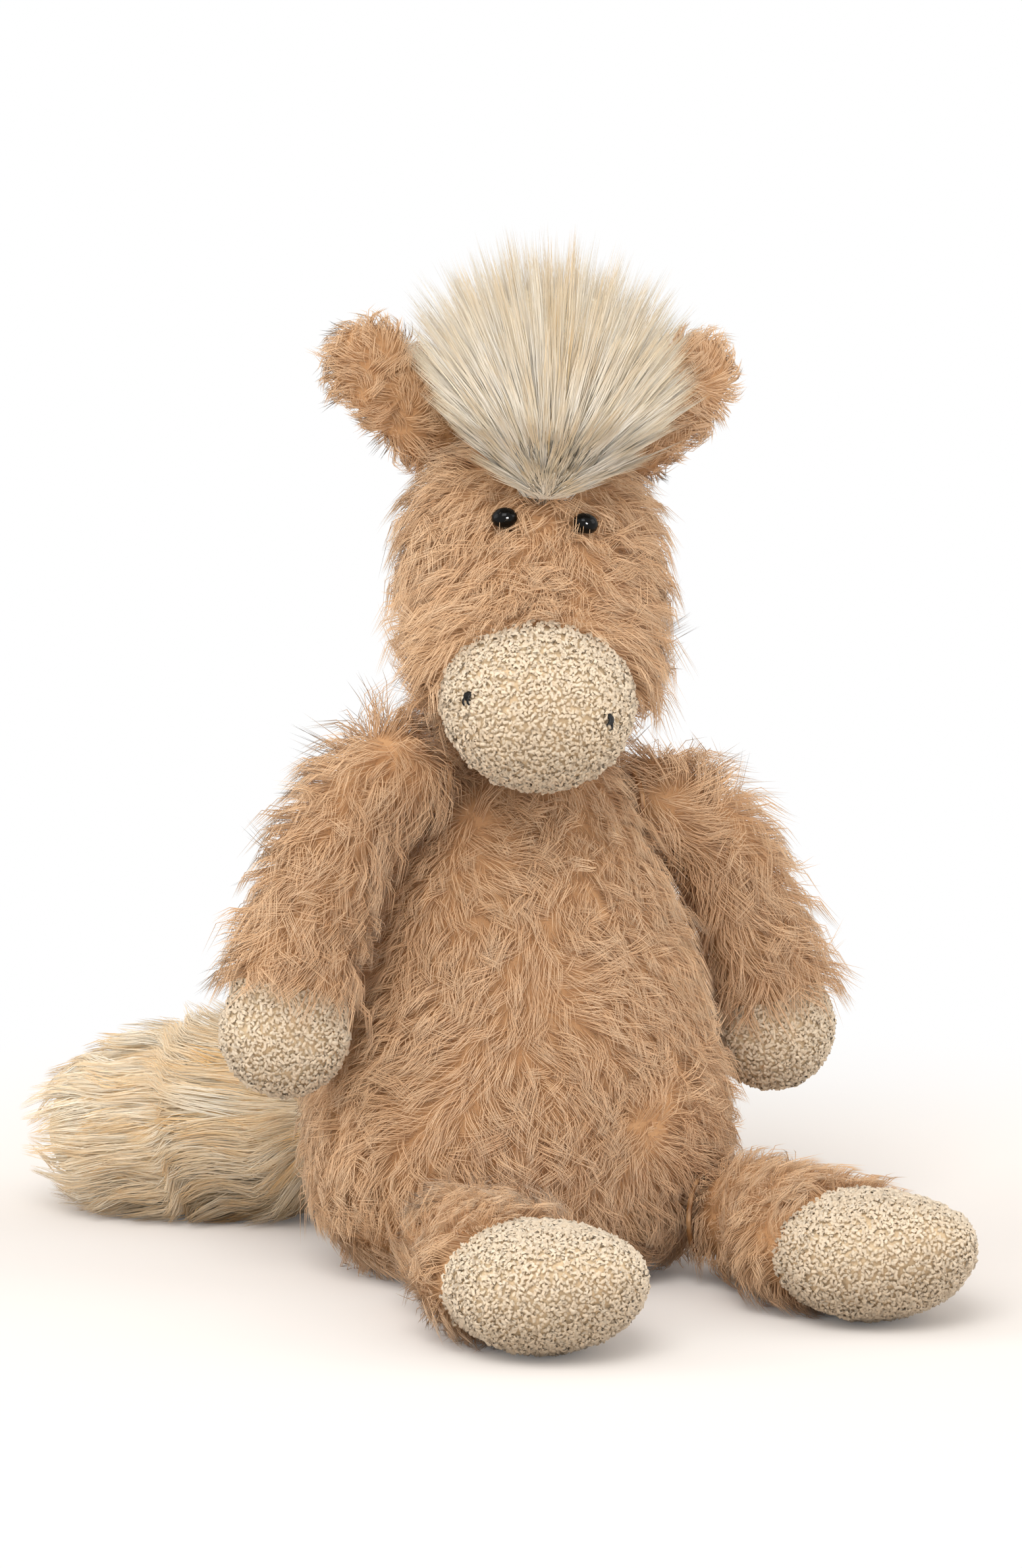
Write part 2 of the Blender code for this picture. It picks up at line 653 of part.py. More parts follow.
def make_ear(side, form):
    """Two panels sewn back to back, on a hinge line just off the head."""
    way = SIDES[side]
    angle = -EAR_ROUND if way > 0 else math.pi + EAR_ROUND
    place = surface_matrix(form, EAR_DOWN, angle, FUR_GROWTH)
    hinge = place @ Vector((0, 0, EAR_STAND_OFF))
    joint = empty("ear_joint_" + side, hinge, (0, way * EAR_LEAN[side], 0), head_joint)
    for panel, layer in (("front", -1), ("back", 1)):
        offset = layer * (EAR_PANEL + GAP) / 2
        spine, halves = [], []
        for up_share, half_share, curl_share in EAR_SHARES:
            up = -EAR_ROOT + (EAR_LENGTH + EAR_ROOT) * up_share
            spine.append((0, offset + EAR_CURL * curl_share, up))
            halves.append((EAR_HALF_WIDTH * half_share, EAR_PANEL / 2))
        leaf = Form(spine, halves, 10, EAR_RINGS, EAR_ROOT, EAR_LENGTH * EAR_TIP_SHARE)
        solid(f"ear_{panel}_{side}", leaf, TAN_FUR, joint)


MANE_BACKING_HALF = 0.006
MANE_BACKING_THICKNESS = 0.0016
MANE_SEAT = 0.0006
MANE_CLEARANCE = 0.0018
MANE_FRONT_DOWN = 0.024
MANE_BACK_DOWN = 0.030
MANE_HEIGHT = 0.106
MANE_HALF_WIDTH = 0.038
MANE_HALF_DEPTH = 0.030
# where the strip's points lie, between its end and the crown
MANE_STRIP_SHARES = (1.0, 0.8, 0.6, 0.42, 0.27, 0.15, 0.07, 0.02, 0.0)
# forward from the neck's centre and up, as shares of the mane's height; half width, half depth
MANE_SHARES = (
    (0.30, 0.565, 0.24, 0.17),
    (0.36, 0.70, 0.84, 0.40),
    (0.335, 0.86, 1.06, 0.62),
    (0.17, 0.95, 1.06, 0.86),
    (-0.06, 0.95, 0.86, 0.88),
    (-0.32, 0.85, 0.50, 0.74),
    (-0.45, 0.64, 0.40, 0.53),
    (-0.44, 0.36, 0.34, 0.40),
    (-0.345, 0.13, 0.21, 0.23),
)


def make_mane(form):
    """A woven strip over the crown, from forehead to nape, with its tuft of long hair."""
    grow = FUR_GROWTH + MANE_SEAT + MANE_BACKING_THICKNESS / 2
    spine = [
        form.point((MANE_FRONT_DOWN + grow) * share - grow, math.pi / 2, grow)
        for share in MANE_STRIP_SHARES
    ]
    spine += [
        form.point((MANE_BACK_DOWN + grow) * share - grow, -math.pi / 2, grow)
        for share in reversed(MANE_STRIP_SHARES[:-1])
    ]
    halves = [(MANE_BACKING_HALF, MANE_BACKING_THICKNESS / 2)] * len(spine)
    strip = Form(spine, halves, 8, STRIP_RINGS)
    solid("mane_backing", strip, BACKING, head_joint)
    spine, halves = [], []
    for forward, up, wide, deep in MANE_SHARES:
        spine.append((0, -MANE_HEIGHT * forward, MANE_HEIGHT * up))
        halves.append((MANE_HALF_WIDTH * wide, MANE_HALF_DEPTH * deep))
    tip_front, tip_back = halves[0][1], halves[-1][1]
    tuft = Form(spine, halves, 18, HAIR_RINGS, tip_front, tip_back)
    hair = solid("mane_hair", tuft, MANE_HAIR, head_joint)
    seat = FUR_GROWTH + MANE_SEAT + MANE_BACKING_THICKNESS + MANE_CLEARANCE
    cut(hair, hidden(solid("mane_seat", form, None, head_joint, grow=seat)))


def make_head():
    form, seam = head_form()
    skin = cover("head_cover", form, TAN_FUR, head_joint, FUR_THICKNESS, end=seam)
    cover("muzzle_cover", form, CREAM_LOOPS, head_joint, LOOP_THICKNESS, begin=seam + GAP)
    fibre = solid("head_stuffing", form, FILLING, head_joint)
    socket = ball_cutter("neck_socket", NECK_BALL + FUR_GROWTH, head_joint)
    room = hidden(solid("neck_room", body_form()[0], None, grow=FUR_GROWTH + NECK_ROOM))
    for piece in (skin, fibre):
        cut(piece, socket)
        cut(piece, room)
    make_mane(form)
    for side in SIDES:
        make_eye(side, form, skin, fibre)
        make_nostril(side, form)
        make_ear(side, form)


make_head()


def make_arm(side):
    """Fur sleeve and looped hoof round one filling, with the shoulder's thread in a groove."""
    form, wrist = arm_form(side)
    joint = shoulders[side]
    sleeve = cover("arm_cover_" + side, form, TAN_FUR, joint, FUR_THICKNESS, end=wrist)
    begin = wrist + GAP
    cover("hoof_cover_" + side, form, CREAM_LOOPS, joint, LOOP_THICKNESS, begin=begin)
    solid("arm_stuffing_" + side, form, FILLING, joint)
    inward = Matrix.Rotation(math.pi / 2 * -SIDES[side], 4, "Y")
    groove = thread_ring(
        "shoulder_thread_" + side,
        SHOULDER_BALL + FUR_GROWTH,
        SHOULDER_THREAD_IN,
        TAN_THREAD,
        joint,
        inward,
    )
    cut(sleeve, groove)


def make_leg(side):
    """Fur leg and looped foot round one filling, flat where they lie on the floor."""
    form, ankle = leg_form(side)
    joint = hips[side]
    leg = cover("leg_cover_" + side, form, TAN_FUR, joint, FUR_THICKNESS, end=ankle)
    begin = ankle + ANKLE_SEAM
    foot = cover("foot_cover_" + side, form, CREAM_LOOPS, joint, LOOP_THICKNESS, begin=begin)
    solid("leg_stuffing_" + side, form, FILLING, joint)
    inward = Matrix.Rotation(SIDES[side] * HIP_INWARD, 4, "Z")
    inward = inward @ Matrix.Rotation(-math.pi / 2, 4, "X")
    groove = thread_ring(
        "hip_thread_" + side,
        HIP_BALL + FUR_GROWTH,
        HIP_THREAD_IN,
        TAN_THREAD,
        joint,
        inward,
    )
    cut(leg, groove)
    cut(leg, floor_cutter)
    cut(foot, floor_cutter)


for side in SIDES:
    make_arm(side)
    make_leg(side)


def make_tail():
    """A sewn roll that the long hair is fixed round, lying on the floor."""
    reach = Vector((TAIL_REACH_SIDE, TAIL_REACH_BACK, 0))
    down = TAIL_HAIR_RADIUS - FLOOR_PRESS - TAIL_HEIGHT
    places = [Vector((reach.x * a, reach.y * b, down * c)) for a, b, c in TAIL_ROUTE_SHARES]
    root = places[0].normalized()
    spine = [root * -TAIL_BALL, Vector(), *places[:4]]
    core_halves = [TAIL_BALL, TAIL_BALL] + [TAIL_CORE_RADIUS] * 4
    halves = [(half, half) for half in core_halves]
    core = Form(spine, halves, 10, LIMB_RINGS, TAIL_BALL, TAIL_CORE_RADIUS)
    solid("tail_core", core, BACKING, tail_joint)
    girths = [(TAIL_HAIR_RADIUS * share,) * 2 for share in TAIL_GIRTH_SHARES]
    ends = (TAIL_HAIR_RADIUS * TAIL_ROOT_SHARE, TAIL_HAIR_RADIUS * TAIL_TIP_SHARE)
    brush = Form(places, girths, 16, HAIR_RINGS, *ends)
    hair = solid("tail_hair", brush, MANE_HAIR, tail_joint)
    cut(hair, hidden(solid("tail_core_room", core, None, tail_joint, grow=GAP)))
    cut(hair, floor_cutter)


make_tail()
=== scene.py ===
import math

import bpy
import numpy as np
from mathutils import Euler, Matrix, Vector
from mathutils.bvhtree import BVHTree
from mathutils.kdtree import KDTree


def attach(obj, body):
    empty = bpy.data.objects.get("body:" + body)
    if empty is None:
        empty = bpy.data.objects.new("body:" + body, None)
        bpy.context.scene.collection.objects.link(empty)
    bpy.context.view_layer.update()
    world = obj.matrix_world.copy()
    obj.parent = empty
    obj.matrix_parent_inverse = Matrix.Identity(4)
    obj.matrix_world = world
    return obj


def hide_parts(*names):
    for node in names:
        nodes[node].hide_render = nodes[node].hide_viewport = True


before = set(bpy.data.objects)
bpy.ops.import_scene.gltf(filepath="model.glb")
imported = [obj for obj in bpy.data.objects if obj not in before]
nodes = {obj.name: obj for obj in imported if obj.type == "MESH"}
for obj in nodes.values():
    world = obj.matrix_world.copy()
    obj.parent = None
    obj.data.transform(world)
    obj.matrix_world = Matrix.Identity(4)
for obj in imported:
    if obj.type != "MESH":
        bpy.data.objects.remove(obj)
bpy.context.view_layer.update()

# The camera: a long lens in front of the toy and to its right, a little above it. It stands where
# the photograph was taken from, and is aimed so that the toy's seat lands on its own pixel there.
IMAGE_WIDTH, IMAGE_HEIGHT = 1552, 2380
SEAT_PIXEL = (788, 1920)
PIXELS_PER_METRE = 4800
CAMERA_AZIMUTH = math.radians(-28)
CAMERA_ELEVATION = math.radians(12)
CAMERA_DISTANCE = 2.2
CAMERA_REACH = 20
SENSOR_MM = 36

turn = Euler((math.pi / 2 - CAMERA_ELEVATION, 0, CAMERA_AZIMUTH))
back = turn.to_matrix().col[2].copy()
focus = PIXELS_PER_METRE * CAMERA_DISTANCE
turn.x += math.atan((SEAT_PIXEL[1] - IMAGE_HEIGHT / 2) / focus)
turn.z += math.atan((SEAT_PIXEL[0] - IMAGE_WIDTH / 2) / focus)
lens = bpy.data.cameras.new("camera")
lens.sensor_fit = "HORIZONTAL"
lens.sensor_width = SENSOR_MM
lens.lens = SENSOR_MM * focus / IMAGE_WIDTH
lens.clip_end = CAMERA_REACH
camera = bpy.data.objects.new("camera", lens)
camera.location = back * CAMERA_DISTANCE
camera.rotation_euler = turn
bpy.context.scene.collection.objects.link(camera)
bpy.context.scene.camera = camera

# The body: a bag of long-pile faux fur over fibre and a pouch of beans, sewn from four gores that
# meet at the neck. The cloth is a knitted backing, and the pile stands on it in combed tufts.
CLOTH_CLEARANCE = 0.0012
CLOTH_GRAIN = 0.0026
MERGE_DISTANCE = 0.00001
FLOOR_CLEARANCE = 0.0006
FUR_LENGTH = 0.0130
FUR_RADIUS = 0.00014
FUR_TAPER = (1.0, 0.9)
FUR_PER_CM2 = 82
HAIRS_PER_TUFT = 8
SEAT_FLAT = 0.006

# How far the hairs stray, first each tuft and then each hair in it: in radians from the comb's way,
# in shares of their length aside, and in tone.
TURN_SPREAD = (0.5, 0.22)
CURL_SPREAD = (0.22, 0.1)
TONE_SPREAD = (0.17, 0.07)
TONE_LIMITS = (0.02, 0.97)

# A hair's points, in shares of its length: up from the cloth, along the comb and aside. Then how
# far each point is drawn in to its tuft's leader.
HAIR_POINTS = ((0, 0, 0), (0.36, 0.38, 0.3), (0.42, 0.92, 1.0))
HAIR_GATHER = (0, 0.22, 0.5)
FIBRE_SIDES = 3
SOFTNESS = 0.4
CM2_PER_M2 = 1e4


def linear(colour):
    """A written sRGB colour as the renderer's linear one."""
    parts = [int(colour[k : k + 2], 16) / 255 for k in (1, 3, 5)]
    parts = [c / 12.92 if c <= 0.04045 else ((c + 0.055) / 1.055) ** 2.4 for c in parts]
    return (*parts, 1)


def add_node(tree, kind, links=None, stops=(), **settings):
    """One node: its settings, its ramp's stops, and each socket's value or the output it takes."""
    node = tree.nodes.new(kind)
    for name, value in settings.items():
        setattr(node, name, value)
    for k, (place, colour) in enumerate(stops):
        stop = node.color_ramp.elements[k] if k < 2 else node.color_ramp.elements.new(place)
        stop.position = place
        stop.color = linear(colour)
    for name, value in (links or {}).items():
        if isinstance(value, bpy.types.NodeSocket):
            tree.links.new(value, node.inputs[name])
        else:
            node.inputs[name].default_value = value
    return node


def new_material(name):
    made = bpy.data.materials.new(name)
    made.use_nodes = True
    made.node_tree.nodes.clear()
    return made, made.node_tree


def finish_material(tree, shader):
    add_node(tree, "ShaderNodeOutputMaterial", {"Surface": shader.outputs[0]})


def knitted_backing(name, colour, shade, loop_mm=1.1, depth_mm=0.4):
    """Polyester knit, sheared on its face: matt, in rows of small loops the pile half hides."""
    made, tree = new_material(name)
    place = add_node(tree, "ShaderNodeTexCoord").outputs["Object"]
    loops = add_node(
        tree,
        "ShaderNodeTexVoronoi",
        {"Vector": place, "Scale": 1000 / loop_mm},
        feature="SMOOTH_F1",
    )
    patches = add_node(tree, "ShaderNodeTexNoise", {"Vector": place, "Scale": 60.0, "Detail": 3.0})
    tint = add_node(
        tree,
        "ShaderNodeValToRGB",
        {"Fac": patches.outputs["Fac"]},
        stops=((0.3, shade), (0.7, colour)),
    )
    bump = add_node(
        tree,
        "ShaderNodeBump",
        {"Height": loops.outputs["Distance"], "Strength": 0.6, "Distance": depth_mm / 1000},
    )
    shader = add_node(
        tree,
        "ShaderNodeBsdfPrincipled",
        {
            "Base Color": tint.outputs["Color"],
            "Roughness": 0.95,
            "Specular IOR Level": 0.2,
            "Normal": bump.outputs["Normal"],
        },
    )
    finish_material(tree, shader)
    return made


def pile_material(name, deep, pale, roughness, sheen, gloss=0.3):
    """Dyed pile, root to tip, where a ramp darker at the root is painted shade: the ramps of the
    deepest tuft and the palest, mixed by tuft.
    """
    made, tree = new_material(name)
    place = add_node(tree, "ShaderNodeUVMap", uv_map="OFBake").outputs["UV"]
    split = add_node(tree, "ShaderNodeSeparateXYZ", {"Vector": place})
    low = add_node(tree, "ShaderNodeValToRGB", {"Fac": split.outputs["X"]}, stops=deep)
    high = add_node(tree, "ShaderNodeValToRGB", {"Fac": split.outputs["X"]}, stops=pale)
    colour = add_node(
        tree,
        "ShaderNodeMix",
        {0: split.outputs["Y"], 6: low.outputs["Color"], 7: high.outputs["Color"]},
        data_type="RGBA",
    )
    shader = add_node(
        tree,
        "ShaderNodeBsdfPrincipled",
        {
            "Base Color": colour.outputs[2],
            "Roughness": roughness,
            "Specular IOR Level": gloss,
            "Sheen Weight": sheen,
            "Sheen Roughness": 0.5,
        },
    )
    finish_material(tree, shader)
    return made


def pick_only(piece):
    bpy.ops.object.select_all(action="DESELECT")
    piece.select_set(True)
    bpy.context.view_layer.objects.active = piece


def merge_doubles():
    """Joins the loose triangles of a copied solid."""
    bpy.ops.object.mode_set(mode="EDIT")
    bpy.ops.mesh.select_all(action="SELECT")
    bpy.ops.mesh.remove_doubles(threshold=MERGE_DISTANCE)
    bpy.ops.object.mode_set(mode="OBJECT")


def cloth_skin(name, fillings, clearance=CLOTH_CLEARANCE):
    """One closed cloth round the filling of a piece, drawn smooth."""
    copies = [bpy.data.objects.new(name, nodes[filling].data.copy()) for filling in fillings]
    for copy in copies:
        bpy.context.scene.collection.objects.link(copy)
    skin = copies[-1]
    pick_only(skin)
    for copy in copies:
        copy.select_set(True)
    if len(copies) > 1:
        bpy.ops.object.join()
    merge_doubles()
    grow = skin.modifiers.new("grow", "DISPLACE")
    grow.strength = clearance
    grow.mid_level = 0
    remesh = skin.modifiers.new("remesh", "REMESH")
    remesh.mode = "VOXEL"
    remesh.voxel_size = CLOTH_GRAIN
    relax = skin.modifiers.new("relax", "SMOOTH")
    relax.factor = 0.5
    relax.iterations = 8
    for modifier in list(skin.modifiers):
        bpy.ops.object.modifier_apply(modifier=modifier.name)
    skin.data.materials.clear()
    bpy.ops.object.shade_smooth()
    skin.name = name
    return skin


def rows(values):
    """Vectors of length one, row by row."""
    return values / np.maximum(np.linalg.norm(values, axis=-1, keepdims=True), 1e-9)


def corner_values(mesh, kind="co"):
    """The places of a mesh's corners, or the ways out of it at them."""
    values = np.empty(len(mesh.vertices) * 3)
    mesh.vertices.foreach_get(kind, values)
    return values.reshape(-1, 3)


def roots_on(skin, per_cm2, rng):
    """Places spread evenly over a skin, and the way out of it at each."""
    mesh = skin.data
    mesh.calc_loop_triangles()
    corners = np.empty(len(mesh.loop_triangles) * 3, int)
    mesh.loop_triangles.foreach_get("vertices", corners)
    corners = corners.reshape(-1, 3)
    points = corner_values(mesh)
    outward = corner_values(mesh, "normal")
    a, b, c = (points[corners[:, k]] for k in range(3))
    areas = np.linalg.norm(np.cross(b - a, c - a), axis=1) / 2
    count = int(areas.sum() * CM2_PER_M2 * per_cm2)
    steps = (np.arange(count) + rng.random(count)) / count
    chosen = np.searchsorted(np.cumsum(areas) / areas.sum(), steps)
    chosen = np.minimum(chosen, len(areas) - 1)
    u, v = rng.random((2, count, 1))
    flip = u + v > 1
    u, v = np.where(flip, 1 - u, u), np.where(flip, 1 - v, v)
    weights = (1 - u - v, u, v)
    place = sum(w * points[corners[chosen, k]] for k, w in enumerate(weights))
    way = sum(w * outward[corners[chosen, k]] for k, w in enumerate(weights))
    return place, rows(way)


def swirl(points, size, rng):
    """A smooth wandering direction that turns over about the size given."""
    total = np.zeros_like(points)
    for _ in range(6):
        wave = rng.normal(size=3)
        wave *= 2 * math.pi / size / np.linalg.norm(wave) * rng.uniform(0.6, 1.4)
        total += rng.normal(size=3) * np.sin(points @ wave + rng.uniform(0, 6.3))[:, None]
    return total / 2


def point_tree(points, numbers):
    """Finds the nearest of the numbered places."""
    tree = KDTree(len(numbers))
    for number in numbers:
        tree.insert(points[number], int(number))
    tree.balance()
    return tree


def tuft_leaders(points, size, rng):
    """For each hair, the hair that its tuft gathers round."""
    leaders = rng.choice(len(points), max(1, len(points) // size), replace=False)
    tree = point_tree(points, leaders)
    return np.array([tree.find(point)[1] for point in points])


def strayed(lead, spread, rng):
    """A random number for each hair: its tuft's, and a smaller one of its own."""
    tuft, hair = spread
    count = len(lead)
    return (rng.normal(size=count) * tuft)[lead] + rng.normal(size=count) * hair


def gathered(paths, lead, weights):
    """Hairs drawn in to their tufts' leaders, point by point."""
    weights = np.array(weights)[None, :, None]
    return paths * (1 - weights) + paths[lead] * weights


def combed(points, outward, flow, length, rng, stand=1):
    """Each hair from its root: up out of the cloth, along the comb, and in to its tuft's tip."""
    lead = tuft_leaders(points, HAIRS_PER_TUFT, rng)
    count = len(points)
    comb = rows(flow - outward * (flow * outward).sum(1, keepdims=True))
    turned = strayed(lead, TURN_SPREAD, rng)
    side = np.cross(outward, comb)
    comb = comb * np.cos(turned)[:, None] + side * np.sin(turned)[:, None]
    side = np.cross(outward, comb)
    reach = length * (1 + 0.14 * rng.normal(size=count))[lead] * rng.uniform(0.6, 1.1, count)
    lift = np.clip(1 + 0.25 * rng.normal(size=count), 0.4, 1.7)[lead] * stand
    curl = strayed(lead, CURL_SPREAD, rng)
    paths = []
    for rise, run, bow in HAIR_POINTS:
        up_by = (rise * lift * reach)[:, None] * outward
        along = (run * reach)[:, None] * comb
        paths.append(points + up_by + along + (bow * curl * reach)[:, None] * side)
    paths = gathered(np.stack(paths, axis=1), lead, HAIR_GATHER)
    return paths, side, 0.5 + strayed(lead, TONE_SPREAD, rng)


def fibre_faces(steps):
    """One fibre's faces, ring by ring to its point and over its root, with their UV places."""
    faces, uvs = [], []
    for k in range(steps - 2):
        for s in range(FIBRE_SIDES):
            t = (s + 1) % FIBRE_SIDES
            low, high = k * FIBRE_SIDES, (k + 1) * FIBRE_SIDES
            faces.append((low + s, low + t, high + t, high + s))
            u0, u1 = k / (steps - 1), (k + 1) / (steps - 1)
            uvs.append(((u0, s), (u0, s + 1), (u1, s + 1), (u1, s)))
    last = (steps - 2) * FIBRE_SIDES
    point = last + FIBRE_SIDES
    u0 = (steps - 2) / (steps - 1)
    for s in range(FIBRE_SIDES):
        faces.append((last + s, last + (s + 1) % FIBRE_SIDES, point))
        uvs.append(((u0, s), (u0, s + 1), (1, s + 0.5)))
    faces.append(tuple(reversed(range(FIBRE_SIDES))))
    uvs.append(tuple((0.01 * s, s) for s in range(FIBRE_SIDES)))
    return faces, uvs


def add_fibres(name, paths, across, thick, taper, facing, tones, finish, softness=SOFTNESS):
    """Thin closed tubes along the paths, which end in a point. UV: root to tip, and tone.

    Pile catches light as one soft surface, so the shading leans to the way the cloth faces.
    """
    paths = paths.copy()
    paths[:, :, 2] = np.maximum(paths[:, :, 2], FLOOR_CLEARANCE + thick * 1.2)
    count, steps = paths.shape[:2]
    along = rows(np.gradient(paths, axis=1))
    wide = rows(across[:, None, :] - along * (across[:, None, :] * along).sum(2, keepdims=True))
    deep = np.cross(along, wide)
    angles = 2 * math.pi * np.arange(FIBRE_SIDES) / FIBRE_SIDES
    round_it = wide[:, :-1, None, :] * np.cos(angles)[None, None, :, None]
    round_it = round_it + deep[:, :-1, None, :] * np.sin(angles)[None, None, :, None]
    rings = paths[:, :-1, None, :] + thick * np.array(taper)[None, :, None, None] * round_it
    shading = np.concatenate([round_it.reshape(count, -1, 3), facing[:, None, :]], axis=1)
    shading = rows(shading * (1 - softness) + facing[:, None, :] * softness)
    points = np.concatenate([rings.reshape(count, -1, 3), paths[:, -1:, :]], axis=1)
    faces, uvs = fibre_faces(steps)
    sizes = np.array([len(face) for face in faces])
    corner = np.array([c for face in faces for c in face])
    uv = np.array([place for face in uvs for place in face], float)
    mesh = bpy.data.meshes.new(name)
    mesh.vertices.add(count * points.shape[1])
    mesh.vertices.foreach_set("co", points.reshape(-1))
    mesh.loops.add(count * len(corner))
    starts = (np.arange(count) * points.shape[1])[:, None]
    mesh.loops.foreach_set("vertex_index", (starts + corner[None, :]).reshape(-1))
    mesh.polygons.add(count * len(faces))
    first = np.concatenate([[0], np.cumsum(sizes)[:-1]])
    loops = (np.arange(count) * len(corner))[:, None] + first[None, :]
    mesh.polygons.foreach_set("loop_start", loops.reshape(-1))
    mesh.polygons.foreach_set("use_smooth", np.ones(count * len(faces), bool))
    layer = mesh.uv_layers.new(name="OFBake")
    place = np.empty((count, len(corner), 2))
    place[:, :, 0] = uv[None, :, 0] * 0.98 + 0.01
    place[:, :, 1] = np.clip(tones, *TONE_LIMITS)[:, None] + uv[None, :, 1] * 0.003
    layer.data.foreach_set("uv", place.reshape(-1))
    mesh.update(calc_edges=True)
    mesh.normals_split_custom_set_from_vertices(shading.reshape(-1, 3))
    mesh.materials.append(finish)
    made = bpy.data.objects.new(name, mesh)
    bpy.context.scene.collection.objects.link(made)
    return made


def add_groups(groups, paths, across, thick, taper, facing, tones, finish, softness=SOFTNESS):
    """The same fibres as several pieces, each with its share of them."""
    return [
        add_fibres(
            name,
            paths[chosen],
            across[chosen],
            thick,
            taper,
            facing[chosen],
            tones[chosen],
            finish,
            softness,
        )
        for name, chosen in groups.items()
    ]


# Acrylic fur, dyed in the fibre: satin hairs with pale tips, and painted shade that darkens each
# hair towards its root.
tan_backing = knitted_backing("tan_knitted_backing", "#D2A578", "#C39468")
tan_fur = pile_material(
    "tan_acrylic_fur",
    deep=((0.0, "#C99C70"), (0.5, "#D4A77B"), (1.0, "#E0B78E")),
    pale=((0.0, "#D4AA7F"), (0.5, "#E2BA90"), (1.0, "#F4D6B3")),
    roughness=0.62,
    sheen=0.15,
)

# The fur is brushed down and outwards, with cowlicks. None grows under the flat of the seat.
body_rng = np.random.default_rng(11)
body_skin = cloth_skin("body_skin", ["body_stuffing", "bean_pouch"])
body_skin.data.materials.append(tan_backing)
points, outward = roots_on(body_skin, FUR_PER_CM2, body_rng)
seat = (points[:, 2] < SEAT_FLAT) & (outward[:, 2] < -0.7)
points, outward = points[~seat], outward[~seat]
flow = swirl(points, 0.05, body_rng) * 0.85 + np.array([0, 0, -0.8])
flow[:, :2] += points[:, :2] * 9
paths, across, tones = combed(points, outward, flow, FUR_LENGTH, body_rng)
front, left = points[:, 1] < 0, points[:, 0] > 0
gores = {
    "body_fur_front_left": front & left,
    "body_fur_front_right": front & ~left,
    "body_fur_back_left": ~front & left,
    "body_fur_back_right": ~front & ~left,
}
for gore in add_groups(gores, paths, across, FUR_RADIUS, FUR_TAPER, outward, tones, tan_fur):
    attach(gore, "body")
    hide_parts("body_cover")
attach(body_skin, "body")

# The head and muzzle: one filling in two cloths, tan fur to the bend of the nose and cream looped
# pile over its end, sewn edge to edge. The fur is brushed outwards from the middle of the face.
NECK = Vector((0.004, 0.006, 0.187))
HEAD_TURN = math.radians(-22.5)
HEAD_ROLL = math.radians(4.5)
HEAD_FUR_SHARE = 1.15
HALF_FACE = 0.03
EYE_ROOM = 0.0037
SEAM_TOUCH = 0.0012
SEAM_MARGIN = 0.0008
SEAM_FRINGE = 0.009
LOOPS_PER_CM2 = 320
LOOP_MARGIN = 0.0006
LOOP_SPACING = 0.00094
LOOP_RADIUS = 0.00049
LOOP_CURL = 0.00056
LOOP_TURN = math.radians(250)
LOOP_STEPS = 5
LOOP_TAPER = (0.85, 1.1, 1.15, 1.0)
LOOP_RISE = 0.65
LOOP_HEAP = 0.0005
LOOP_HEAP_SIZE = 0.0055
LOOP_SOFTNESS = 0.6

head_place = Matrix.Translation(NECK) @ Euler((0, HEAD_ROLL, HEAD_TURN)).to_matrix().to_4x4()
to_world = np.array(head_place)
to_head = np.array(head_place.inverted())


def moved(points, matrix):
    return points @ matrix[:3, :3].T + matrix[:3, 3]


def seam_between(cover, cuff):
    """The seam's plane: a point on it, and the way across it into the cuff."""
    fur, looped = corner_values(nodes[cover].data), corner_values(nodes[cuff].data)
    tree = point_tree(fur, range(len(fur)))
    ring = np.array([point for point in looped if tree.find(point)[2] < SEAM_TOUCH])
    centre = ring.mean(0)
    normal = np.linalg.svd(ring - centre)[2][2]
    if (looped.mean(0) - centre) @ normal < 0:
        normal = -normal
    return centre, normal


def past_seam(points, seam):
    """How far into the cuff each place lies."""
    return (points - seam[0]) @ seam[1]


def cut_cuff(skin, name, seam):
    """Cuts a skin at its seam into two closed cloths, and gives the one past the seam."""
    cuff = bpy.data.objects.new(name, skin.data.copy())
    bpy.context.scene.collection.objects.link(cuff)
    for piece, past in ((skin, True), (cuff, False)):
        pick_only(piece)
        bpy.ops.object.mode_set(mode="EDIT")
        bpy.ops.mesh.select_all(action="SELECT")
        bpy.ops.mesh.bisect(
            plane_co=tuple(seam[0]),
            plane_no=tuple(seam[1]),
            use_fill=True,
            clear_outer=past,
            clear_inner=not past,
        )
        bpy.ops.object.mode_set(mode="OBJECT")
    return cuff


def spaced(points, spacing):
    """The places that are left when none may lie nearer to another than the spacing."""
    tree = point_tree(points, range(len(points)))
    taken = np.zeros(len(points), bool)
    kept = []
    for k, point in enumerate(points):
        if not taken[k]:
            kept.append(k)
            for _, other, _ in tree.find_range(point, spacing):
                taken[other] = True
    return np.array(kept)


